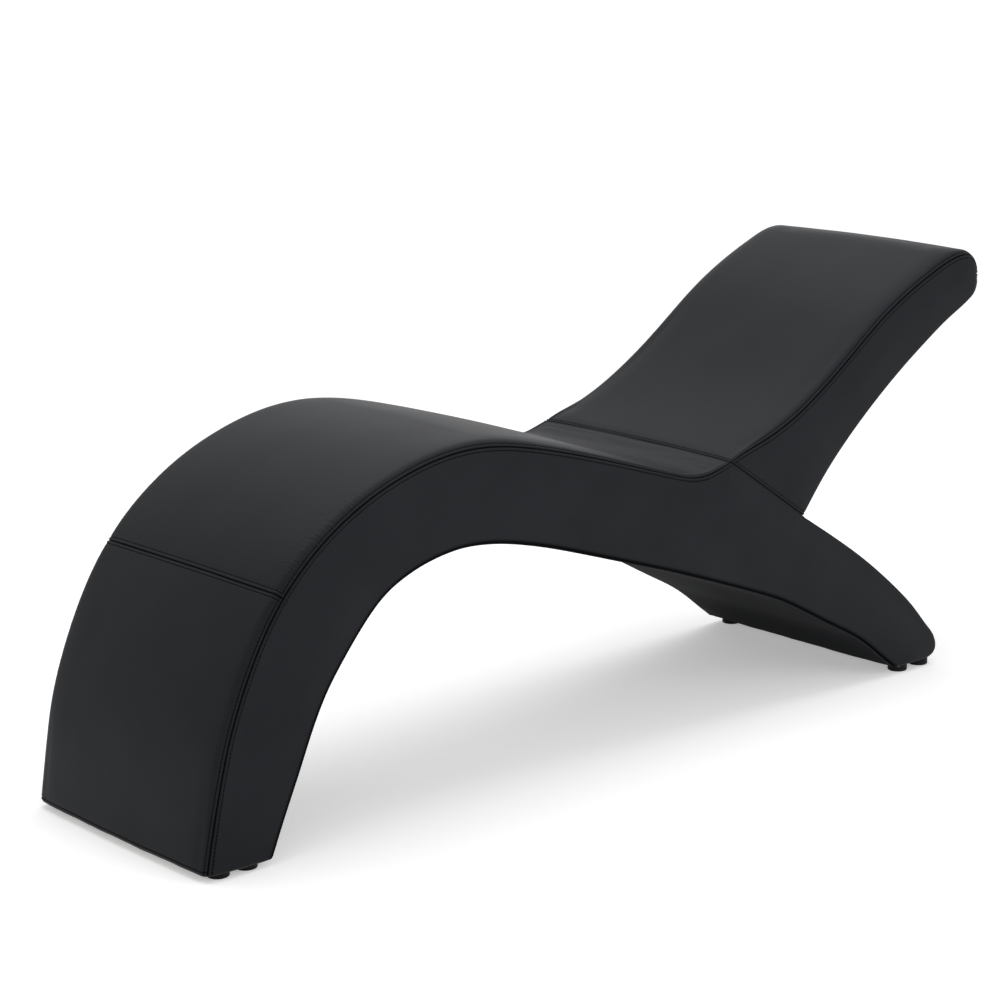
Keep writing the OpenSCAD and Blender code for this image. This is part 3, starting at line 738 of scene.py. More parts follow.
@dataclass
class Cover:
    """A cover panel as a grid of places with their outward ways and heights."""

    node: str
    places: Array
    ways: Array
    along: Array
    aside: Array
    relief: Array
    pucker: Array
    # Shade painted into the seams
    shade: Array
    # Dullness: rougher leather, which also has shade painted onto it
    dull: Array
    welded: bool = False
    slack: float = 1.5 * MM
    weld: float = 0.02 * MM
    wave_height: float = 0.9 * MM
    wave_reach: float = 12 * MM
    waves_per_metre: float = 46
    wave_seed: float = 0.8

    @property
    def name(self) -> str:
        """Name of the cover's piece."""
        return "cover_" + self.node.replace("_cover", "")

    def hem(self, sizes: Sizes, sewn_at: float = 0.0) -> None:
        """Rolls the cover in at the floor, with a slight wave.

        Args:
            sizes: The lounger's sizes.
            sewn_at: Height of the hem's seam over its edge, or zero without one.
        """
        if sewn_at:
            seam = hump(self.places[..., 2], sizes.front_hem + sewn_at, SEAM.dent_width)
            self.relief -= SEAM.dent_depth * seam
            # The hem's seam groove gets painted shade as well
            self.shade = np.maximum(self.shade, seam)
        radius = sizes.hem_radius
        height = self.places[..., 2] - sizes.hem_height(self.places[..., 0])
        above = np.clip(height, 0, radius)
        self.relief -= radius - np.sqrt(np.maximum(radius**2 - (radius - above) ** 2, 0))
        across, along = (self.places[..., axis] * self.waves_per_metre for axis in (1, 0))
        wave = self.wave_height * (1 + wander(across, along, self.wave_seed))
        self.places[..., 2] += wave * np.exp(-height / self.wave_reach)

    def swell(self) -> None:
        """Adds the soft swell that a pinned, lightly blown cloth takes between its seams."""
        self.relief += ClothSwell(self.places, self.ways, self.slack).heights()

    @property
    def surface(self) -> Array:
        """Places of the finished cover."""
        return self.places + self.relief[..., None] * self.ways

    def build(self, thickness: float) -> bpy.types.Object:
        """Makes the cover's mesh.

        Args:
            thickness: Thickness of the cover.

        Returns:
            The cover's object.
        """
        mesh, index = grid_mesh(self.name, self.surface)
        # seam carries the shade painted into the seams; the last one carries the underside's
        # roughness and painted shade
        for name, values in (("pucker", self.pucker), ("seam", self.shade), ("dull", self.dull)):
            attribute = mesh.attributes.new(name, "FLOAT", "POINT")
            attribute.data.foreach_set("value", values.ravel()[index].astype(np.float32))
        loops = np.zeros(len(mesh.loops), np.int32)
        mesh.loops.foreach_get("vertex_index", loops)
        runs = (self.along, self.aside)
        flat = np.stack([values.ravel()[index][loops] for values in runs], axis=1)
        mesh.uv_layers.new(name="seamwise").data.foreach_set("uv", flat.ravel().astype(np.float32))
        faces_along(mesh, self.ways.reshape(-1, 3)[index])
        if self.welded:
            with edited(mesh) as bm:
                bmesh.ops.remove_doubles(bm, verts=bm.verts, dist=self.weld)
        piece = shown(self.name, mesh)
        wall = piece.modifiers.new("thickness", "SOLIDIFY")
        wall.thickness = thickness
        wall.offset = -1
        return piece

    def flat_size(self) -> tuple[float, float, float]:
        """Width, length and area that the cover was cut to."""
        along = np.linalg.norm(np.diff(self.places, axis=0), axis=2)
        across = np.linalg.norm(np.diff(self.places, axis=1), axis=2)
        area = float(((along[:, :-1] + along[:, 1:]) * (across[:-1] + across[1:])).sum() / 4)
        length, width = float(along.sum(axis=0).max()), float(across.sum(axis=1).max())
        return width, length, min(area, width * length)


@dataclass(frozen=True)
class AcrossPanel:
    """A cover that lies across the lounger from one side seam to the other."""

    node: str
    rim: Rim
    span: Pair
    crown: float
    edging: Edging
    ends: tuple[Edging, Edging]
    seed: float
    gathered: Pair = (0.0, 0.0)
    # How much rougher the panel is, and how much shade is painted onto it, for the underside
    dull: float = 0.0
    pitch: float = 3 * MM
    middle_columns: int = 12
    gathered_rest: float = 0.2
    gathered_fade: float = 30 * MM
    rumples_per_metre: Pair = (16, 13)
    dull_from: float = 1.6 * SEAM.roll_width

    def laid_out(self, sizes: Sizes) -> Cover:
        """Lays out the panel.

        Args:
            sizes: The lounger's sizes.

        Returns:
            The cover, with its seams and folds in relief.
        """
        rim, s = self.rim, self._stations()
        radius, seam = rim.radius(s)[:, None], rim.angle(s)[:, None]
        near = NEAR_STITCHED if self.edging is STITCHED else NEAR_ROLLED
        round_part = radius * (math.pi / 2 - seam)
        reach = sizes.seam_y - radius + round_part
        inner = np.linspace(0, 1, self.middle_columns + 1)[1:]
        close = np.broadcast_to(near, (len(s), len(near)))
        half = np.concatenate([close, near[-1] + (reach - near[-1]) * inner], axis=1)
        angle = np.minimum(seam + half / radius, math.pi / 2)
        y = sizes.seam_y - radius * (1 - np.cos(angle)) - np.maximum(half - round_part, 0)
        lift = self.crown * np.clip(1 - (y / (sizes.seam_y - radius)) ** 2, 0, 1)
        depth = radius * (1 - np.sin(angle)) - lift
        points, inward = rim.line.at(s)[:, None], square_to(rim.line.ways(s), rim.turn)[:, None]
        place = points + depth[..., None] * inward
        out = -np.sin(angle)[..., None] * inward
        halves = [
            (np.stack([place[..., 0], side * y, place[..., 1]], axis=-1),
             np.stack([out[..., 0], side * np.cos(angle), out[..., 1]], axis=-1))
            for side in SIDES.values()]
        places, ways = (
            np.concatenate([left, right[:, -2::-1]], axis=1) for left, right in zip(*halves))
        places[..., 2] = above_floor(places[..., 2], sizes.hem_height(places[..., 0]))
        distance = np.concatenate([half, half[:, -2::-1]], axis=1)
        run = np.broadcast_to(s[:, None], distance.shape).copy()
        strength = PUCKERS.strength(run, self.gathered, self.gathered_rest)
        # Shade painted into the seams along the sides and at the ends
        relief, shade = SEAM.relief(distance, self.edging), SEAM.shade(distance, self.edging)
        for away, edging in zip((run - s[0], s[-1] - run), self.ends):
            relief = relief + SEAM.relief(away, edging)
            shade = np.maximum(shade, SEAM.shade(away, edging))
        relief = relief + strength * PUCKERS.relief(run, distance)
        along, aside = self.rumples_per_metre
        relief = relief + rumpled(distance, run * along, places[..., 1] * aside, self.seed)
        # The dullness with its painted shade falls away over the rolled welt
        return Cover(
            self.node, places, unit(ways), run, distance, np.maximum(relief, SEAM.deepest),
            strength * np.exp(-distance / self.gathered_fade), shade,
            self.dull * (1 - hump(distance, SEAM.roll_place, self.dull_from)))

    def _stations(self) -> Array:
        """Places along the line, closer at its ends."""
        first = self.span[0] + CLOSE_ROWS[self.ends[0]]
        last = self.span[1] - CLOSE_ROWS[self.ends[1]][::-1]
        return np.concatenate([first, spaced(first[-1], last[0], self.pitch)[1:-1], last])


class SideEdge:
    """An edge of a side panel, sampled to measure distances from it."""

    def __init__(
        self, rim: Rim, edging: Edging, span: Pair | None = None,
        gathered: Pair = (0.0, 0.0), band: float = 0.0, leans: bool = True,
    ) -> None:
        """Samples the edge.

        Args:
            rim: The rim that the edge follows.
            edging: How the edge is finished.
            span: Where the edge starts and stops along the rim, if it isn't the whole of it.
            gathered: Where along the rim the panel is gathered.
            band: Width of the strip of painted shade beside the edge, or zero without one.
            leans: Whether the panel's outward way leans over the edge.
        """
        self.step = 2 * MM
        self.s = spaced(*(span or rim.whole), self.step)
        self.points, self.ways = rim.line.at(self.s), rim.line.ways(self.s)
        self.inward = square_to(self.ways, rim.turn)
        self.radius, self.angle = rim.radius(self.s), rim.angle(self.s)
        self.edging, self.gathered, self.band, self.leans = edging, gathered, band, leans

    def measured(self, places: Array) -> tuple[Array, ...]:
        """Distances of places from the edge.

        Args:
            places: Places of the side view.

        Returns:
            For each place its distance, and the edge's radius, seam angle, run and inward way.
        """
        flat, batch, slide = places.reshape(-1, 2), 4096, 0.75 * self.step
        found = np.concatenate([
            ((flat[start:start + batch, None] - self.points[None]) ** 2).sum(axis=2).argmin(axis=1)
            for start in range(0, len(flat), batch)])
        away = flat - self.points[found]
        foot = np.clip((away * self.ways[found]).sum(axis=1), -slide, slide)
        distance = np.sqrt(np.maximum((away**2).sum(axis=1) - foot**2, 0))
        shape = places.shape[:-1]
        rest = (values[found].reshape(shape) for values in (self.radius, self.angle, self.s))
        return distance.reshape(shape), *rest, self.inward[found].reshape(*shape, 2)


@dataclass
class SidePanel:
    """A cover on a side of the lounger, between two rims and within its edges."""

    node: str
    side: int
    rims: tuple[Array, Array]
    insides: tuple[Array, Array]
    near: tuple[Array, Array]
    edges: list[SideEdge]
    seed: float
    fit_share: float
    middle_columns: int
    welded: bool = False
    gathered_share: float = 0.75
    gathered_fade: float = 26 * MM
    rumples_per_metre: float = 15
    least_lean: float = 0.35
    least_level: float = 0.05

    def laid_out(self, sizes: Sizes) -> Cover:
        """Lays out the panel.

        Args:
            sizes: The lounger's sizes.

        Returns:
            The cover, with its seams and folds in relief.
        """
        flat = self._flat_grid()
        inset, relief, pucker, shade, along = (np.zeros(flat.shape[:2]) for _ in range(5))
        nearest, level = (np.ones(flat.shape[:2]) for _ in range(2))
        lean = np.zeros_like(flat)
        for edge in self.edges:
            depth, radius, seam, run, inward = edge.measured(flat)
            angle = np.arcsin(np.clip((radius - depth) / radius, 0, 1))
            inset += radius * (1 - np.cos(angle))
            over = np.maximum(radius * (seam - angle) + np.maximum(depth - radius, 0), 0)
            strength = self.gathered_share * PUCKERS.strength(run, edge.gathered, 0.0)
            relief += SEAM.relief(over, edge.edging) + strength * PUCKERS.relief(run, over)
            pucker = np.maximum(pucker, strength * np.exp(-over / self.gathered_fade))
            if edge.leans:
                lean -= np.sin(angle)[..., None] * inward
                level *= np.cos(angle)
            # Shade painted into the seams, and a strip of painted shade along the underside's edge
            shade = np.maximum(shade, SEAM.shade(over, edge.edging))
            if edge.band:
                shade = np.maximum(shade, np.exp(-((over / edge.band) ** 4)))
            along = np.where(over < nearest, run, along)
            nearest = np.minimum(nearest, over)
        full = np.clip(nearest / sizes.side_crown_run, 0, 1)
        bulge = sizes.side_crown * (1 - (1 - full) ** 2)
        a, b = (self.rumples_per_metre * flat[..., axis] for axis in (0, 1))
        relief += rumpled(nearest, a, b, self.seed)
        height = above_floor(flat[..., 1], sizes.hem_height(flat[..., 0]))
        across = self.side * (sizes.seam_y - inset + bulge)
        places = np.stack([flat[..., 0], across, height], axis=-1)
        aside = self.side * np.maximum(level, self.least_level)
        ways = unit(np.stack([lean[..., 0], aside, lean[..., 1]], axis=-1))
        return Cover(
            self.node, places, ways, along, nearest, np.maximum(relief, SEAM.deepest), pucker,
            shade, np.zeros_like(shade), welded=self.welded)

    def _flat_grid(self) -> Array:
        """The panel's grid in the side view, from the one rim to the other."""
        a, b = self.rims
        least = 1e-9
        span = np.linalg.norm(b - a, axis=1)
        across = unit(b - a)
        shares = []
        for inside, way, near in zip(self.insides, (across, -across), self.near):
            lean = np.clip((inside * way).sum(axis=1), self.least_lean, 1)
            fit = np.minimum(1, self.fit_share * span * lean / max(near[-1], least))
            shares.append(near[None] * (fit / lean / np.maximum(span, least))[:, None])
        first, last = shares[0], 1 - shares[1][:, ::-1]
        inner = np.linspace(0, 1, self.middle_columns + 1)[1:-1]
        middle = first[:, -1:] + (last[:, :1] - first[:, -1:]) * inner
        share = np.concatenate([first, middle, last], axis=1)
        return a[:, None] + share[..., None] * (b - a)[:, None]


class Nodes:
    """Puts nodes into a tree."""

    def __init__(self, tree: bpy.types.NodeTree) -> None:
        """Empties the tree.

        Args:
            tree: The tree.
        """
        self.tree = tree
        tree.nodes.clear()

    def node(
        self, kind: str, settings: dict[str, Any] | None = None, **inputs: Any,
    ) -> bpy.types.Node:
        """Adds a node.

        Args:
            kind: Type of the node.
            settings: Its own settings.
            inputs: Values or links of its sockets, with _ for a space.

        Returns:
            The node.
        """
        made = self.tree.nodes.new(kind)
        for key, value in (settings or {}).items():
            setattr(made, key, value)
        for key, value in inputs.items():
            self.feed(made.inputs[key.replace("_", " ")], value)
        return made

    def feed(self, socket: Socket, value: Any) -> None:
        """Links a socket, or sets its value.

        Args:
            socket: The socket.
            value: A link or a value.
        """
        if isinstance(value, Socket):
            self.tree.links.new(value, socket)
        else:
            socket.default_value = value

    def math(self, operation: str, *values: Any) -> Socket:
        """A calculation.

        Args:
            operation: Name of the operation.
            values: Its values or links.

        Returns:
            The result.
        """
        made = self.node("ShaderNodeMath", {"operation": operation})
        for socket, value in zip(made.inputs, values):
            self.feed(socket, value)
        return made.outputs[0]

    def total(self, *parts: tuple[Socket, float]) -> Socket:
        """A weighted sum.

        Args:
            parts: Each value with its weight.

        Returns:
            The sum.
        """
        result: Any = 0.0
        for value, weight in parts:
            result = self.math("MULTIPLY_ADD", value, weight, result)
        return result

    def between(self, value: Socket, ends: Pair) -> Socket:
        """A value from zero to one taken to a range."""
        return self.math("MULTIPLY_ADD", value, ends[1] - ends[0], ends[0])


class Recipe(Nodes):
    """Puts together a material."""

    def __init__(self, name: str) -> None:
        """Starts an empty material.

        Args:
            name: Name of the material.
        """
        self.material = bpy.data.materials.new(name)
        self.material.use_nodes = True
        super().__init__(self.material.node_tree)

    def noise(
        self, place: Socket, scale: float, detail: float = 2, rough: float = 0.5,
    ) -> Socket:
        """Noise from zero to one.

        Args:
            place: Where it is read.
            scale: How many waves it has per metre.
            detail: How many finer waves lie on them.
            rough: How strong the finer ones are.

        Returns:
            The noise.
        """
        return self.node(
            "ShaderNodeTexNoise", Vector=place, Scale=scale, Detail=detail,
            Roughness=rough).outputs[0]

    def cells(self, place: Socket, scale: float, **more: Any) -> Socket:
        """Distances from the middle of cells.

        Args:
            place: Where they are read.
            scale: How many cells there are per metre.
            more: Inputs that only smooth cells have.

        Returns:
            The distances.
        """
        settings = {"feature": "SMOOTH_F1"} if more else None
        return self.node(
            "ShaderNodeTexVoronoi", settings, Vector=place, Scale=scale, **more).outputs["Distance"]

    def ramp(self, value: Socket, *stops: tuple[float, Triple]) -> Socket:
        """Colour of a value.

        Args:
            value: The value.
            stops: Two values with their colours.

        Returns:
            The colour.
        """
        made = self.node("ShaderNodeValToRGB", Fac=value)
        for element, (place, colour) in zip(made.color_ramp.elements, stops):
            element.position = place
            element.color = (*colour, 1)
        return made.outputs["Color"]

    def attribute(self, name: str) -> Socket:
        """Value of a mesh attribute."""
        return self.node("ShaderNodeAttribute", {"attribute_name": name}).outputs["Fac"]

    def place(self, stretch: Triple = (1, 1, 1)) -> Socket:
        """Object coordinates, stretched along the axes."""
        source = self.node("ShaderNodeTexCoord").outputs["Object"]
        return self.node("ShaderNodeMapping", Vector=source, Scale=stretch).outputs[0]

    def seamwise(self, stretch: Triple) -> Socket:
        """Coordinates along and across a seam, stretched."""
        source = self.node("ShaderNodeUVMap", {"uv_map": "seamwise"}).outputs[0]
        return self.node("ShaderNodeMapping", Vector=source, Scale=stretch).outputs[0]

    def finished(self, height_mm: Socket, **inputs: Any) -> bpy.types.Material:
        """Ends the material with its surface shader.

        Args:
            height_mm: Heights of the bumpy surface in millimetres.
            inputs: Values or links of the shader's sockets.

        Returns:
            The material.
        """
        bump = self.node("ShaderNodeBump", Strength=1.0, Distance=MM, Height=height_mm)
        shader = self.node("ShaderNodeBsdfPrincipled", Normal=bump.outputs[0], **inputs)
        self.node("ShaderNodeOutputMaterial", Surface=shader.outputs[0])
        return self.material


@dataclass(frozen=True)
class Leather:
    """Satin near-black upholstery leather with a fine grain, with shade painted into its seams and
    onto its underside.
    """

    name: str = "satin_leather"
    deep: Triple = (0.0090, 0.0098, 0.0116)
    worn: Triple = (0.0140, 0.0149, 0.0172)
    stops: Pair = (0.30, 0.72)
    roughness: Pair = (0.40, 0.50)
    grain_per_metre: float = 720
    smoothness: float = 0.6
    grain_mm: float = 0.035
    crease_mm: float = 0.10
    pucker_mm: float = 2.4
    # How much the painted shade of the seams and of the underside darkens colour and specular
    seam_painted_shade: float = 0.9
    underside_painted_shade: float = 0.35
    dull_rough: float = 0.32
    specular: float = 0.08
    specular_tint: Triple = (0.92, 0.95, 1.0)

    def material(self) -> bpy.types.Material:
        """Makes the material."""
        recipe = Recipe(self.name)
        place = recipe.place()
        mottle, fine = recipe.noise(place, 7, 3), recipe.noise(place, 240, 3)
        tone = recipe.total((mottle, 0.7), (fine, 0.3))
        colour = recipe.ramp(tone, (self.stops[0], self.deep), (self.stops[1], self.worn))
        cells = recipe.cells(place, self.grain_per_metre, Smoothness=self.smoothness)
        pores = recipe.noise(place, 2 * self.grain_per_metre, 2)
        grain = recipe.total((cells, 1.0), (pores, 0.5))
        creases = recipe.noise(recipe.place((1, 0.6, 1)), 34, 4, 0.55)
        gathers = recipe.noise(recipe.seamwise((280, 30, 1)), 1)
        folds = recipe.math("MULTIPLY", gathers, recipe.attribute("pucker"))
        height = recipe.total(
            (grain, self.grain_mm), (creases, self.crease_mm), (folds, self.pucker_mm))
        # Painted shade: colour and specular darken in the seams and on the rougher underside
        seam, dull = recipe.attribute("seam"), recipe.attribute("dull")
        light = recipe.math(
            "MULTIPLY", recipe.between(seam, (1.0, 1.0 - self.seam_painted_shade)),
            recipe.between(dull, (1.0, 1.0 - self.underside_painted_shade)))
        rough = recipe.between(recipe.total((fine, 0.5), (mottle, 0.5)), self.roughness)
        painted_shade_colour = recipe.node(
            "ShaderNodeVectorMath", {"operation": "SCALE"}, Vector=colour, Scale=light)
        return recipe.finished(
            height, Base_Color=painted_shade_colour.outputs[0],
            Roughness=recipe.math("MULTIPLY_ADD", dull, self.dull_rough, rough),
            Specular_IOR_Level=recipe.math("MULTIPLY", light, self.specular),
            Specular_Tint=(*self.specular_tint, 1))


@dataclass(frozen=True)
class Finish:
    """A plain finish, whose colour and roughness follow a pattern."""

    name: str
    shade: Triple
    tint: Triple
    stops: Pair
    roughness: Pair
    specular: float = 0.5
    metallic: float = 0.0

    def pattern(self, recipe: Recipe) -> Pattern:
        """What the finish follows.

        Args:
            recipe: The material's recipe.

        Returns:
            Values for the tone and the roughness, and heights in millimetres.
        """
        raise NotImplementedError

    def material(self) -> bpy.types.Material:
        """Makes the material."""
        recipe = Recipe(self.name)
        tone, wear, height = self.pattern(recipe)
        return recipe.finished(
            height,
            Base_Color=recipe.ramp(tone, (self.stops[0], self.shade), (self.stops[1], self.tint)),
            Roughness=recipe.between(wear, self.roughness), Specular_IOR_Level=self.specular,
            Metallic=self.metallic)


class Thread(Finish):
    """Twisted sewing thread."""

    def pattern(self, recipe: Recipe) -> Pattern:
        """The twist."""
        twist = recipe.noise(recipe.place(), 2600, 1)
        return twist, twist, recipe.total((twist, 0.12))


class Foam(Finish):
    """Open-cell upholstery foam."""

    def pattern(self, recipe: Recipe) -> Pattern:
        """The cells, and a slight yellowing."""
        place = recipe.place()
        cells, yellowing = recipe.cells(place, 900), recipe.noise(place, 5, 3)
        return recipe.total((yellowing, 0.5), (cells, 0.5)), yellowing, recipe.total((cells, 0.5))


class DustCloth(Finish):
    """Thin spun-bonded cloth under the feet."""

    def pattern(self, recipe: Recipe) -> Pattern:
        """The fibres, and the dots of the bonding."""
        fibres = recipe.noise(recipe.place((1, 3, 1)), 700, 3)
        dots = recipe.cells(recipe.place(), 420)
        return fibres, fibres, recipe.total((fibres, 0.1), (dots, 0.12))


class RailWood(Finish):
    """Sawn wood with its grain along X."""

    def pattern(self, recipe: Recipe) -> Pattern:
        """The fibres and rings."""
        fibres = recipe.noise(recipe.place((4, 60, 60)), 6, 4, 0.6)
        rings = recipe.noise(recipe.place((1, 9, 9)), 5, 3)
        return recipe.total((fibres, 0.5), (rings, 0.5)), fibres, recipe.total((fibres, 0.15))


class Plywood(RailWood):
    """Plywood with its grain along X."""

    def pattern(self, recipe: Recipe) -> Pattern:
        """The fibres and rings, and the plies."""
        tone, fibres, height = super().pattern(recipe)
        plies = recipe.node(
            "ShaderNodeTexWave", {"bands_direction": "Y"}, Vector=recipe.place(), Scale=110.0,
            Distortion=0.6, Detail=1.0).outputs["Fac"]
        return recipe.total((tone, 0.9), (plies, 0.18)), fibres, height


class ZincSteel(Finish):
    """Zinc-plated steel."""

    def pattern(self, recipe: Recipe) -> Pattern:
        """The spangle of the plating."""
        place = recipe.place()
        spangle = recipe.noise(place, 160, 3)
        return spangle, spangle, recipe.total((recipe.noise(place, 1400), 0.02))


class GlidePlastic(Finish):
    """Moulded black plastic, scuffed where it meets the floor."""

    def pattern(self, recipe: Recipe) -> Pattern:
        """The scuffs, and the mould's fine grain."""
        scuffs = recipe.noise(recipe.place((1, 1, 6)), 130, 4, 0.6)
        return scuffs, scuffs, recipe.total((recipe.noise(recipe.place(), 1500), 0.03))


class Palette:
    """The finishes, each made once, with the record's slot that it belongs to."""

    def __init__(self) -> None:
        """Makes the materials."""
        self.thread = Thread(
            "thread", (0.0016, 0.0017, 0.0020), (0.0040, 0.0043, 0.0050), (0.3, 0.7), (0.7, 0.9),
            specular=0.0).material()
        self.by_slot = {
            Slot.UPHOLSTERY: Leather().material(),
            Slot.DUST_CLOTH: DustCloth(
                "dust_cloth", (0.010, 0.010, 0.011), (0.022, 0.022, 0.023), (0.3, 0.7), (0.8, 0.95),
                specular=0.2).material(),
            Slot.FOAM: Foam(
                "foam", (0.36, 0.34, 0.27), (0.52, 0.49, 0.40), (0.25, 0.75), (0.85, 0.98),
                specular=0.2).material(),
            Slot.PLYWOOD: Plywood(
                "birch_ply", (0.42, 0.29, 0.17), (0.66, 0.50, 0.33), (0.32, 0.72), (0.6, 0.8),
                specular=0.35).material(),
            Slot.RAIL_WOOD: RailWood(
                "rail_wood", (0.48, 0.31, 0.16), (0.70, 0.52, 0.32), (0.32, 0.72), (0.6, 0.8),
                specular=0.35).material(),
            Slot.STEEL: ZincSteel(
                "zinc_steel", (0.42, 0.43, 0.44), (0.60, 0.61, 0.60), (0.3, 0.7), (0.28, 0.46),
                metallic=1.0).material(),
            Slot.GLIDE: GlidePlastic(
                "glide_plastic", (0.0035, 0.0035, 0.0038), (0.0085, 0.0085, 0.0090), (0.35, 0.75),
                (0.42, 0.66), specular=0.12).material(),
        }

    def dress(
        self, piece: bpy.types.Object, slot: Slot, material: bpy.types.Material | None = None,
    ) -> None:
        """Gives a new piece its material, the slot's own unless another is given, and sets it on
        the body.

        Args:
            piece: The piece.
            slot: The record's slot.
            material: Its material, where it isn't the slot's own.
        """
        piece.data.materials.clear()
        piece.data.materials.append(material or self.by_slot[slot])
        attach(piece, ROOT)


@dataclass
class Stitching:
    """Rows of lockstitches along seams."""

    palette: Palette
    pitch: float = 7.0 * MM
    length: float = 4.2 * MM
    width: float = 2.1 * MM

    def row(self, name: str, points: Array, ways: Array) -> None:
        """Sews one row.

        Args:
            name: Name of the row's piece.
            points: Points of the cover along the row.
            ways: Outward ways at the points.
        """
        run = running(np.linalg.norm(np.diff(points, axis=0), axis=1))
        at = np.arange(self.pitch / 2, run[-1], self.pitch)
        place, ahead, way = (
            np.stack([np.interp(s, run, values[:, axis]) for axis in range(3)], axis=1)
            for s, values in ((at, points), (at + MM, points), (at, ways)))
        along = unit(ahead - place)
        out = unit(way - (way * along).sum(axis=1, keepdims=True) * along)
        size = Matrix.Diagonal((self.length / 2, self.width / 2, self.width / 2, 1))
        mesh = bpy.data.meshes.new(name)
        with edited(mesh) as bm:
            for spot, x, z in zip(place, along, out):
                frame = Matrix((x, np.cross(z, x), z)).transposed().to_4x4()
                matrix = Matrix.Translation(Vector(spot)) @ frame @ size
                bmesh.ops.create_icosphere(bm, subdivisions=1, radius=1, matrix=matrix)
        mesh.shade_smooth()
        self.palette.dress(shown(name, mesh), Slot.UPHOLSTERY, self.palette.thread)
        log.info("stitch row %s: %d stitches", name, len(at))
        log.info("stitch row %s: %d stitches", name, len(at))

    def beside_sides(self, cover: Cover, rows: slice) -> None:
        """Sews a row beside both side edges of a cover that lies across."""
        surface = cover.surface
        for name, column in (("left", STITCH_COLUMN), ("right", -1 - STITCH_COLUMN)):
            places = rows, column
            self.row(f"stitches_{cover.name}_{name}", surface[places], cover.ways[places])

    def beside_end(self, cover: Cover, row: int, name: str) -> None:
        """Sews a row beside an end of a cover that lies across."""
        inner = slice(STITCH_COLUMN, -STITCH_COLUMN)
        self.row(f"stitches_{cover.name}_{name}", cover.surface[row, inner], cover.ways[row, inner])

    def beside_rim(self, cover: Cover, rows: slice) -> None:
        """Sews a row beside the upper rim of a side panel."""
        places = rows, STITCH_COLUMN
        self.row(f"stitches_{cover.name}", cover.surface[places], cover.ways[places])


def soft_copy(
    node: bpy.types.Object, name: str, settled: Callable[[Array, Array], Array],
) -> bpy.types.Object:
    """A refined, slightly smaller copy of a soft CAD piece.

    Args:
        node: The CAD piece.
        name: Name of the copy.
        settled: Where the points lie in the copy, from their places and outward ways.

    Returns:
        The copy.
    """
    weld, long_edge, cuts = 0.01 * MM, 60 * MM, 3
    mesh = bpy.data.meshes.new(name)
    with edited(mesh) as bm:
        bm.from_mesh(node.data)
        bmesh.ops.remove_doubles(bm, verts=bm.verts, dist=weld)
        bmesh.ops.dissolve_degenerate(bm, edges=bm.edges, dist=weld)
        long_edges = [edge for edge in bm.edges if edge.calc_length() > long_edge]
        bmesh.ops.subdivide_edges(bm, edges=long_edges, cuts=cuts, use_grid_fill=True)
        bmesh.ops.triangulate(bm, faces=bm.faces)
        bm.normal_update()
        places, ways = (np.array([tuple(value) for value in values]) for values in (
            (vertex.co for vertex in bm.verts), (vertex.normal for vertex in bm.verts)))
        for vertex, place in zip(bm.verts, settled(places, ways)):
            vertex.co = place
    return shown(name, mesh)


@dataclass
class Upholstery:
    """What the covers of the base and of the backrest share."""

    sizes: Sizes
    outline: Outline
    palette: Palette
    stitching: Stitching

    def sewn(
        self, panel: AcrossPanel | SidePanel, rests_on: list[str],
        folds: Callable[[Cover], Array] | None = None, hemmed: bool = False, hem_seam: float = 0.0,
    ) -> Cover:
        """Args:
            panel: The cover's panel.
            rests_on: Names of the foam pieces beneath it; not used.
            folds: Gives the heights of its own folds, where it has them.
            hemmed: Whether it reaches the floor.
            hem_seam: Height of the hem's seam over its edge, or zero without one.

        Returns:
            The cover.
        """
        cover = panel.laid_out(self.sizes)
        if folds:
            cover.relief += folds(cover)
        if hemmed:
            cover.hem(self.sizes, hem_seam)
        cover.swell()
        piece = cover.build(self.sizes.cover_thickness)
        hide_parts(cover.node)
        self.palette.dress(piece, Slot.UPHOLSTERY)
        width, length, area = cover.flat_size()
        log.info(
            "cover %s: %.0f x %.0f mm, %d faces", cover.name, width / MM, length / MM,
            len(piece.data.polygons))
        return cover


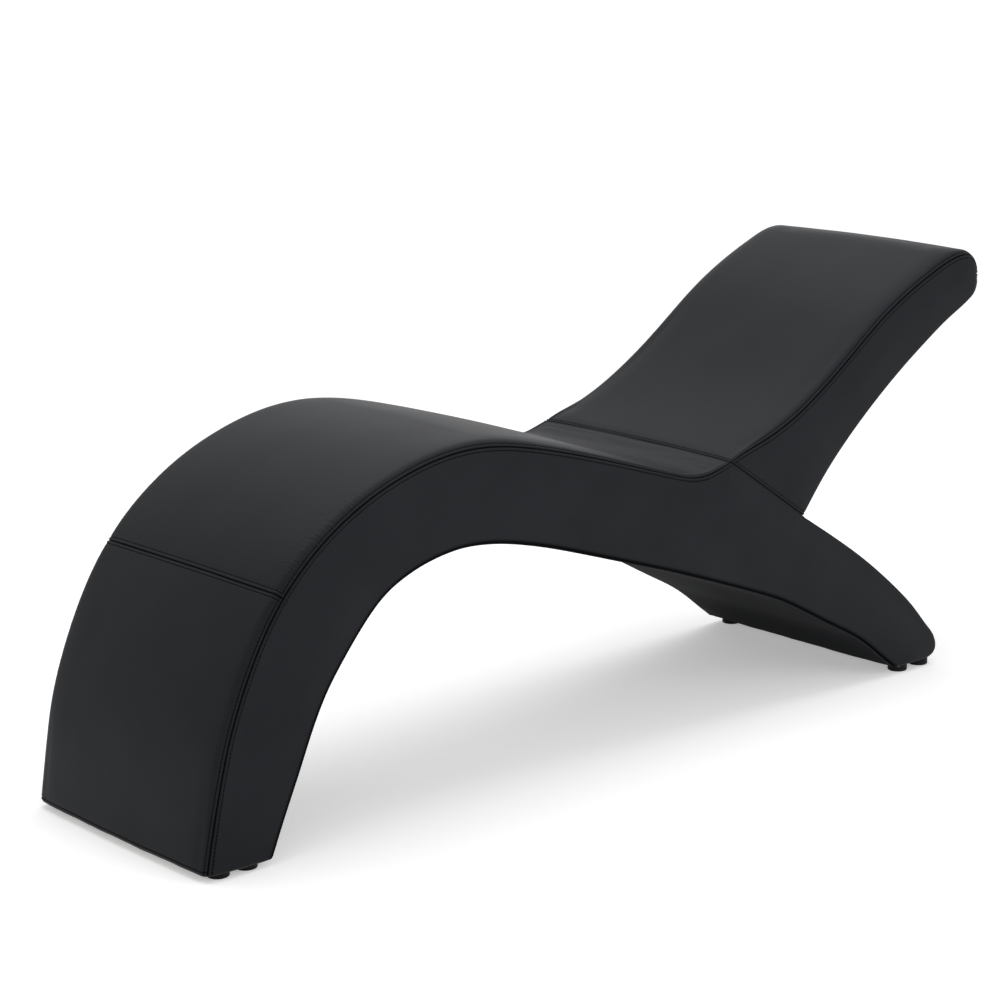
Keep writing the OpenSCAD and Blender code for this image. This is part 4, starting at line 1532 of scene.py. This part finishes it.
@dataclass
class Base(Upholstery):
    """Covers of the waved base."""

    fold_height: float = 1.7 * MM
    gathered_run: float = 240 * MM
    # Width of the strip of shade painted along the underside's edge
    arch_band: float = 7 * MM
    arch_pitch: float = 4 * MM
    hem_seam: float = 9 * MM
    side_pitch: float = 3.3 * MM
    side_fit: float = 0.42
    side_columns: int = 12
    foot_rows: int = 6
    seat_rows: int = 8

    def build(self) -> None:
        """Makes the covers and their seams."""
        lines, crown, under_crown = self.outline, self.sizes.crown, self.sizes.under_crown
        lying, knee, knee_area = lines.lying_rim, lines.knee, self._knee_area()
        shin = self.sewn(
            AcrossPanel(
                "shin_cover", lying, (0, knee), crown, STITCHED,
                (HEMMED, STITCHED), 0.3, knee_area),
            ["foam_leg"], hemmed=True, hem_seam=self.hem_seam)
        seat = self.sewn(
            AcrossPanel(
                "knee_seat_cover", lying, (knee, lying.line.length), crown, STITCHED,
                (STITCHED, ROLLED), 1.9, knee_area),
            ["foam_leg", "foam_seat"], self._seat_folds)
        # The underside is rougher and has shade painted onto it
        self.sewn(
            AcrossPanel(
                "arch_cover", lines.arch_rim, lines.arch_rim.whole, under_crown, ROLLED,
                (HEMMED, HEMMED), 2.7, dull=1.0, pitch=self.arch_pitch),
            ["foam_arch"], hemmed=True)
        self.sewn(
            AcrossPanel(
                "rear_leg_cover", lines.leg_rim, lines.leg_rim.whole, under_crown, ROLLED,
                (ROLLED, HEMMED), 4.1),
            ["foam_rear_leg"], hemmed=True)
        self.stitching.beside_sides(shin, slice(self.foot_rows, -STITCH_COLUMN))
        self.stitching.beside_sides(seat, slice(STITCH_COLUMN, -self.seat_rows))
        self.stitching.beside_end(shin, -1 - STITCH_COLUMN, "knee")
        self.stitching.beside_end(seat, STITCH_COLUMN, "knee")
        for name in SIDES:
            self._side(name)

    def _knee_area(self) -> Pair:
        """Where along the lying line the covers are gathered."""
        return self.outline.knee - self.gathered_run, self.outline.knee + self.gathered_run

    def _seat_folds(self, cover: Cover) -> Array:
        """Soft folds of the seat beside the backrest, which draw together at the near corner.

        Args:
            cover: The seat's cover.

        Returns:
            Heights of the folds.
        """
        away = cover.along[-1, 0] - cover.along
        from_near = cover.places[..., 1] + self.sizes.seam_y
        spread = 0.42 + 0.58 * eased(from_near / (260 * MM))
        bend = 10 * MM * np.sin(from_near * 17 + 0.8) + 4 * MM * np.sin(from_near * 41)
        turn = (away + bend) / spread * math.pi
        long_waves = abs(np.sin(turn / (36 * MM) + 0.9)) ** 0.7
        short_waves = abs(np.sin(turn / (22 * MM) + from_near * 5))
        waves = long_waves + 0.4 * short_waves - 0.9
        reach = np.exp(-away / (85 * MM)) * (1 - np.exp(-((away / (11 * MM)) ** 2)))
        inside = 1 - np.exp(-((cover.aside / (16 * MM)) ** 2))
        weaker = 0.55 + 0.45 * eased(1.2 - from_near / (400 * MM))
        return self.fold_height * waves * reach * inside * weaker

    def _side(self, name: str) -> None:
        """Makes the side panel between the lying line and the underside, with its row of stitches.

        Args:
            name: Name of the side.
        """
        lines, spans = self.outline, self.sizes.joint_spans
        joint = lines.joint_rims[Turn.RIGHT]
        last = lines.lying.last
        notch = last + spans
        t = self._side_rows(last, notch)
        parts = (
            (lines.lying_rim, t[t <= last]),
            (joint, (t[(t > last) & (t < notch)] - last) * lines.joint.last / spans),
            (lines.leg_rim, t[t >= notch] - notch))
        tops, insides = zip(*(rim.seam(rim.line.between_knots(part)) for rim, part in parts))
        bottom, under = lines.arch_rim.seam(lines.arch.between_knots(t))
        edges = [
            SideEdge(lines.lying_rim, STITCHED, gathered=self._knee_area()),
            SideEdge(joint, ROLLED, leans=False),
            SideEdge(lines.leg_rim, ROLLED),
            SideEdge(lines.arch_rim, ROLLED, band=self.arch_band)]
        panel = SidePanel(
            f"base_side_cover_{name}", SIDES[name], (np.concatenate(tops), bottom),
            (np.concatenate(insides), under), (NEAR_STITCHED, NEAR_ROLLED), edges,
            0.7 + SIDES[name], self.side_fit, self.side_columns)
        cover = self.sewn(panel, [f"foam_base_side_{name}"], hemmed=True)
        end = int((t <= last).sum()) - self.foot_rows
        self.stitching.beside_rim(cover, slice(self.foot_rows, end))

    def _side_rows(self, last: int, notch: int) -> Array:
        """Places of the side panel's rows, counted in control points.

        Args:
            last: Number of the lying line's last point.
            notch: The same for the notch.

        Returns:
            The places.
        """
        lines = self.outline
        fine = np.linspace(0, lines.arch.last, 4801)
        joint = (fine[(fine > last) & (fine < notch)] - last) / (notch - last)
        up = np.concatenate([
            lines.lying.at_knots(fine[fine <= last]), lines.joint.at(joint * lines.joint.length),
            lines.leg.at_knots(fine[fine >= notch] - notch)])
        down = lines.arch.at_knots(fine)
        steps = (np.linalg.norm(np.diff(line, axis=0), axis=1) for line in (up, down))
        run = running(np.maximum(*steps))
        even = spaced(NEAR_HEM[-1], run[-1] - NEAR_HEM[-1], self.side_pitch)
        at = np.interp(np.concatenate([NEAR_HEM[:-1], even, run[-1] - NEAR_HEM[-2::-1]]), run, fine)
        for corner in (last, notch):
            at[np.argmin(abs(at - corner))] = corner
        return at


@dataclass
class Backrest(Upholstery):
    """Covers of the backrest."""

    side_pitch: float = 3 * MM
    side_fit: float = 0.86
    side_columns: int = 9

    def build(self) -> None:
        """Makes the covers and their seams."""
        rim, nose, crown = self.outline.back_rim, self.outline.head_nose, self.sizes.crown
        front = self.sewn(
            AcrossPanel(
                "back_front_cover", rim, (0, nose), crown, STITCHED, (STITCHED, ROLLED), 3.3),
            ["foam_back_front", "foam_head"])
        self.sewn(
            AcrossPanel(
                "back_rear_cover", rim, (nose, rim.line.length), crown, STITCHED,
                (ROLLED, ROLLED), 5.2),
            ["foam_back_rear", "foam_head"])
        self.stitching.beside_sides(front, slice(STITCH_COLUMN, None))
        self.stitching.beside_end(front, STITCH_COLUMN, "seat")
        for name in SIDES:
            self._side(name)

    def _side(self, name: str) -> None:
        """Makes the side panel, whose rows run from its rim to a line along its middle.

        Args:
            name: Name of the side.
        """
        lines, rim = self.outline, self.outline.back_rim
        start, nose, end = lines.head_start, lines.head_nose, lines.head_end
        length = rim.line.length
        close = CLOSE_ROWS[STITCHED]
        count = round((start - close[-1]) / self.side_pitch)
        front = np.concatenate([close[:-1], np.linspace(close[-1], start, count)])
        share = front / start
        turn = spaced(start, end, self.side_pitch)[1:-1]
        s = np.concatenate([front, turn, length - share[::-1] * (length - end)])
        up = lines.foot + share[:, None] * (lines.head - lines.foot)
        middle = np.concatenate([up, np.broadcast_to(lines.head, (len(turn), 2)), up[::-1]])
        top, inside = rim.seam(s)
        edges = [
            SideEdge(rim, STITCHED, (0, nose)),
            SideEdge(rim, ROLLED, (nose, length)),
            SideEdge(lines.joint_rims[Turn.LEFT], STITCHED, leans=False)]
        panel = SidePanel(
            f"back_side_cover_{name}", SIDES[name], (top, middle), (inside, unit(top - middle)),
            (NEAR_STITCHED, np.zeros(1)), edges, 2.2 + SIDES[name], self.side_fit,
            self.side_columns, welded=True)
        cover = self.sewn(panel, [f"foam_back_side_{name}"])
        self.stitching.beside_rim(cover, slice(STITCH_COLUMN, int((s <= nose).sum())))


@dataclass
class Padding:
    """Foam and dust cloths, which take the place of the soft CAD solids."""

    nodes: dict[str, bpy.types.Object]
    outline: Outline
    palette: Palette
    outer_shrink: float = 4.4 * MM
    inner_shrink: float = 0.4 * MM
    cloth_shrink: float = 0.05 * MM
    corner_inset: float = 7 * MM
    corner_reach: float = 16 * MM
    corner_drop: float = 8 * MM
    back_start: float = 0.15
    spine_steps: int = 100
    fill: float = 0.85

    def _spine(self) -> Array:
        """Points of the side view along the middle of the lounger."""
        lines = self.outline
        parts = []
        for line, steps in ((lines.lying, 2 * self.spine_steps), (lines.leg, self.spine_steps)):
            first = 0 if line is lines.lying else lines.arch.last - line.last
            t = np.linspace(0, line.last, steps)
            parts.append((line.at_knots(t) + lines.arch.at_knots(t + first)) / 2)
        share = np.linspace(self.back_start, 1, self.spine_steps)[:, None]
        return np.concatenate([*parts, lines.foot + share * (lines.head - lines.foot)])

    def _settled(self, places: Array, ways: Array) -> Array:
        """Where the foam's points lie: further in under the covers and at both ends of the joint.

        Args:
            places: The points of the CAD piece.
            ways: Its outward ways there.

        Returns:
            The points' places in the foam.
        """
        flat = places[:, [0, 2]]
        spine = self._spine()
        near = spine[((flat[:, None] - spine[None]) ** 2).sum(axis=2).argmin(axis=1)]
        away = np.stack([flat[:, 0] - near[:, 0], places[:, 1], flat[:, 1] - near[:, 1]], axis=1)
        ends = np.stack([self.outline.corner, self.outline.notch])
        beside = ((flat[:, None] - ends[None]) ** 2).sum(axis=2) < self.corner_reach**2
        shrink = np.where((away * ways).sum(axis=1) > 0, self.outer_shrink, self.inner_shrink)
        settled = places - shrink[:, None] * ways
        kept = 1 - self.corner_inset / self.outline.sizes.seam_y
        settled[:, 1] *= np.where(beside.any(axis=1), kept, 1)
        settled[:, 2] -= np.where(beside[:, 0], self.corner_drop, 0)
        return settled

    def build(self) -> None:
        """Makes the pieces."""
        for node in self.nodes:
            if "_foam" in node:
                name = "foam_" + node.replace("_foam", "")
                piece = soft_copy(self.nodes[node], name, self._settled)
                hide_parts(node)
                self.palette.dress(piece, Slot.FOAM)
                log.info("foam %s: %d faces", piece.name, len(piece.data.polygons))
        for end in ("front", "rear"):
            node = f"{end}_dust_cloth"
            low, high = (Vector(corner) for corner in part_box(node))
            piece = soft_copy(
                self.nodes[node], f"cloth_{end}",
                lambda places, ways: places - self.cloth_shrink * ways)
            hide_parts(node)
            self.palette.dress(piece, Slot.DUST_CLOTH)
            log.info("dust cloth %s", piece.name)


@dataclass
class Feet:
    """Screw-on glides."""

    sizes: Sizes
    outline: Outline
    palette: Palette
    radius: float = 20 * MM
    height: float = 15 * MM
    recess_radius: float = 6 * MM
    recess_height: float = 5 * MM
    bore_radius: float = 2.8 * MM
    edge: float = 1.6 * MM
    inset: float = 30 * MM
    front_shares: Pair = (0.31, 0.73)
    rear_shares: Pair = (0.9, 0.2)
    steps: int = 48
    sharp_angle: float = math.radians(40)

    def build(self) -> None:
        """Turns a glide at each place."""
        toe, arch_toe = self.outline.lying.points[0][0], self.outline.arch.points[0][0]
        sole, heel = self.outline.arch.points[-1][0], self.outline.leg.points[-1][0]
        width = 2 * self.radius
        spots = [toe + share * (arch_toe - toe) for share in self.front_shares]
        spots += [sole + self.rear_shares[0] * width, heel - self.rear_shares[1] * width]
        across = self.sizes.width / 2 - self.inset
        mesh = bpy.data.meshes.new("glides")
        with edited(mesh) as bm:
            for x in spots:
                for y in (-across, across):
                    self._turned(bm, Vector((x, y, 0)))
            bmesh.ops.recalc_face_normals(bm, faces=bm.faces)
        mesh.shade_smooth()
        mesh.set_sharp_from_angle(angle=self.sharp_angle)
        piece = shown("glides_turned", mesh)
        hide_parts("glides")
        self.palette.dress(piece, Slot.GLIDE)
        log.info("glides: %d", 2 * len(spots))

    def _turned(self, bm: bmesh.types.BMesh, spot: Vector) -> None:
        """Spins a glide's profile round its axis.

        Args:
            bm: The mesh that it is made in.
            spot: Where its axis meets the floor.
        """
        e, r, h = self.edge, self.radius, self.height
        profile = [
            (self.recess_radius, self.recess_height), (self.recess_radius, 0.3 * e),
            (self.recess_radius + 0.3 * e, 0), (r - 1.5 * e, 0), (r - 0.9 * e, 0.12 * e),
            (r - 0.3 * e, 0.7 * e), (r, 2 * e), (r - 0.25 * e, 0.5 * h), (r, h - 1.2 * e),
            (r - 0.3 * e, h - 0.35 * e), (r - e, h), (self.bore_radius, h),
            (self.bore_radius, self.recess_height)]
        points = [bm.verts.new(spot + Vector((x, 0, z))) for x, z in profile]
        edges = [bm.edges.new((a, b)) for a, b in zip(points, points[1:] + points[:1])]
        bmesh.ops.spin(
            bm, geom=points + edges, cent=spot, axis=(0, 0, 1), angle=2 * math.pi, steps=self.steps,
            use_merge=True)


@dataclass
class InnerFrame:
    """The wood and steel inside, which keep their CAD shapes."""

    nodes: dict[str, bpy.types.Object]
    palette: Palette

    def dress(self) -> None:
        """Gives each part its material."""
        for name, node in self.nodes.items():
            slot = self._slot(name)
            if slot is None:
                continue
            material = self.palette.by_slot[slot]
            if not node.material_slots:
                node.data.materials.append(material)
            for place in node.material_slots:
                place.material = material
            log.info("frame part %s: %s", name, slot.value)

    @staticmethod
    def _slot(name: str) -> Slot | None:
        """The slot of a wood or steel part.

        Args:
            name: Name of the part.

        Returns:
            The slot, or nothing for other parts.
        """
        if any(word in name for word in ("screws", "bolts", "washers", "nuts")):
            return Slot.STEEL
        if name.endswith("_rails"):
            return Slot.RAIL_WOOD
        if any(word in name for word in ("_rib_", "_deck", "_board")):
            return Slot.PLYWOOD
        return None


@dataclass(frozen=True)
class Lamp:
    """A square soft lamp."""

    name: str
    place: Triple
    target: Triple
    watts: float
    size: float

    def hang(self) -> None:
        """Hangs the lamp so that it faces its target."""
        data = bpy.data.lights.new(self.name, "AREA")
        data.energy, data.size = self.watts, self.size
        lamp = shown(self.name, data)
        lamp.location = self.place
        ahead = Vector(self.target) - Vector(self.place)
        lamp.rotation_euler = ahead.to_track_quat("-Z", "Y").to_euler()


@dataclass(frozen=True)
class Studio:
    """Camera, lamps, world and floor."""

    eye: Triple = (-3.4566, -4.0051, 1.7453)
    ahead: Triple = (0.6257, 0.7430, -0.2377)
    right: Triple = (0.7618, -0.6476, -0.0190)
    lens: float = 102.91
    sensor: float = 36.0
    shift: Pair = (-0.0025, -0.0016)
    floor_size: float = 60.0
    floor_colour: Triple = (0.88, 0.88, 0.88)
    floor_glow: float = 0.36
    far_glow: float = 0.50
    near_far: Pair = (2.2, 5.5)
    surround: float = 0.60
    lamps: tuple[Lamp, ...] = (
        Lamp("key", (0.1, 0.5, 3.2), (0.05, 0, 0.4), 54.0, 3.2),
        Lamp("fill", (0.4, -3.2, 1.5), (0.1, 0, 0.4), 35.0, 2.4))

    def build(self) -> None:
        """Sets the studio up."""
        self._camera()
        for lamp in self.lamps:
            lamp.hang()
        self._world()
        self._floor()
        bpy.context.scene.view_settings.view_transform = "Standard"

    def _camera(self) -> None:
        """Sets the camera where the photograph was taken."""
        ahead = Vector(self.ahead).normalized()
        up = Vector(self.right).cross(ahead).normalized()
        data = bpy.data.cameras.new("camera")
        data.lens, data.sensor_width = self.lens, self.sensor
        data.shift_x, data.shift_y = self.shift
        camera = shown("camera", data)
        turned = Matrix((ahead.cross(up), up, -ahead)).transposed().to_4x4()
        camera.matrix_world = Matrix.Translation(Vector(self.eye)) @ turned
        bpy.context.scene.camera = camera

    @staticmethod
    def _seen(nodes: Nodes) -> Socket:
        """One for rays of the camera, of gloss and of glass, otherwise zero."""
        path = nodes.node("ShaderNodeLightPath").outputs
        seen = nodes.math("MAXIMUM", path["Is Camera Ray"], path["Is Glossy Ray"])
        return nodes.math("MAXIMUM", seen, path["Is Transmission Ray"])

    def _world(self) -> None:
        """Makes a white surround that lights more softly than it shows."""
        world = bpy.data.worlds.new("surround")
        world.use_nodes = True
        nodes = Nodes(world.node_tree)
        strength = nodes.between(self._seen(nodes), (self.surround, 1.0))
        glow = nodes.node("ShaderNodeBackground", Color=WHITE, Strength=strength)
        nodes.node("ShaderNodeOutputWorld", Surface=glow.outputs[0])
        bpy.context.scene.world = world

    def _floor(self) -> None:
        """Lays a pale floor that keeps the lounger's shadow."""
        mesh = bpy.data.meshes.new("floor")
        with edited(mesh) as bm:
            bmesh.ops.create_grid(bm, x_segments=1, y_segments=1, size=self.floor_size / 2)
        recipe = Recipe("pale_floor")
        matt = recipe.node("ShaderNodeBsdfDiffuse", Color=(*self.floor_colour, 1))
        away = recipe.node("ShaderNodeVectorMath", {"operation": "LENGTH"}, Vector=recipe.place())
        level = recipe.node(
            "ShaderNodeMapRange", {"interpolation_type": "SMOOTHSTEP"}, Value=away.outputs["Value"],
            From_Min=self.near_far[0], From_Max=self.near_far[1],
            To_Min=self.floor_glow, To_Max=self.far_glow).outputs[0]
        strength = recipe.math("MULTIPLY", self._seen(recipe), level)
        glow = recipe.node("ShaderNodeEmission", Color=WHITE, Strength=strength)
        both = recipe.node("ShaderNodeAddShader")
        for socket, shader in zip(both.inputs, (matt, glow)):
            recipe.feed(socket, shader.outputs[0])
        recipe.node("ShaderNodeOutputMaterial", Surface=both.outputs[0])
        mesh.materials.append(recipe.material)
        shown("floor", mesh)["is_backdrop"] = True


def main() -> None:
    """Builds the lounger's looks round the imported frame."""
    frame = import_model()
    solid_box = [list(corner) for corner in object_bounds()]
    low, high = solid_box
    sizes = Sizes(high[0] - low[0], high[1] - low[1], high[2] - low[2])
    outline = Outline(sizes)
    Studio().build()
    palette = Palette()
    stitching = Stitching(palette)
    Padding(frame["nodes"], outline, palette).build()
    Base(sizes, outline, palette, stitching).build()
    Backrest(sizes, outline, palette, stitching).build()
    Feet(sizes, outline, palette).build()
    InnerFrame(frame["nodes"], palette).dress()


if __name__ == "__main__":
    main()
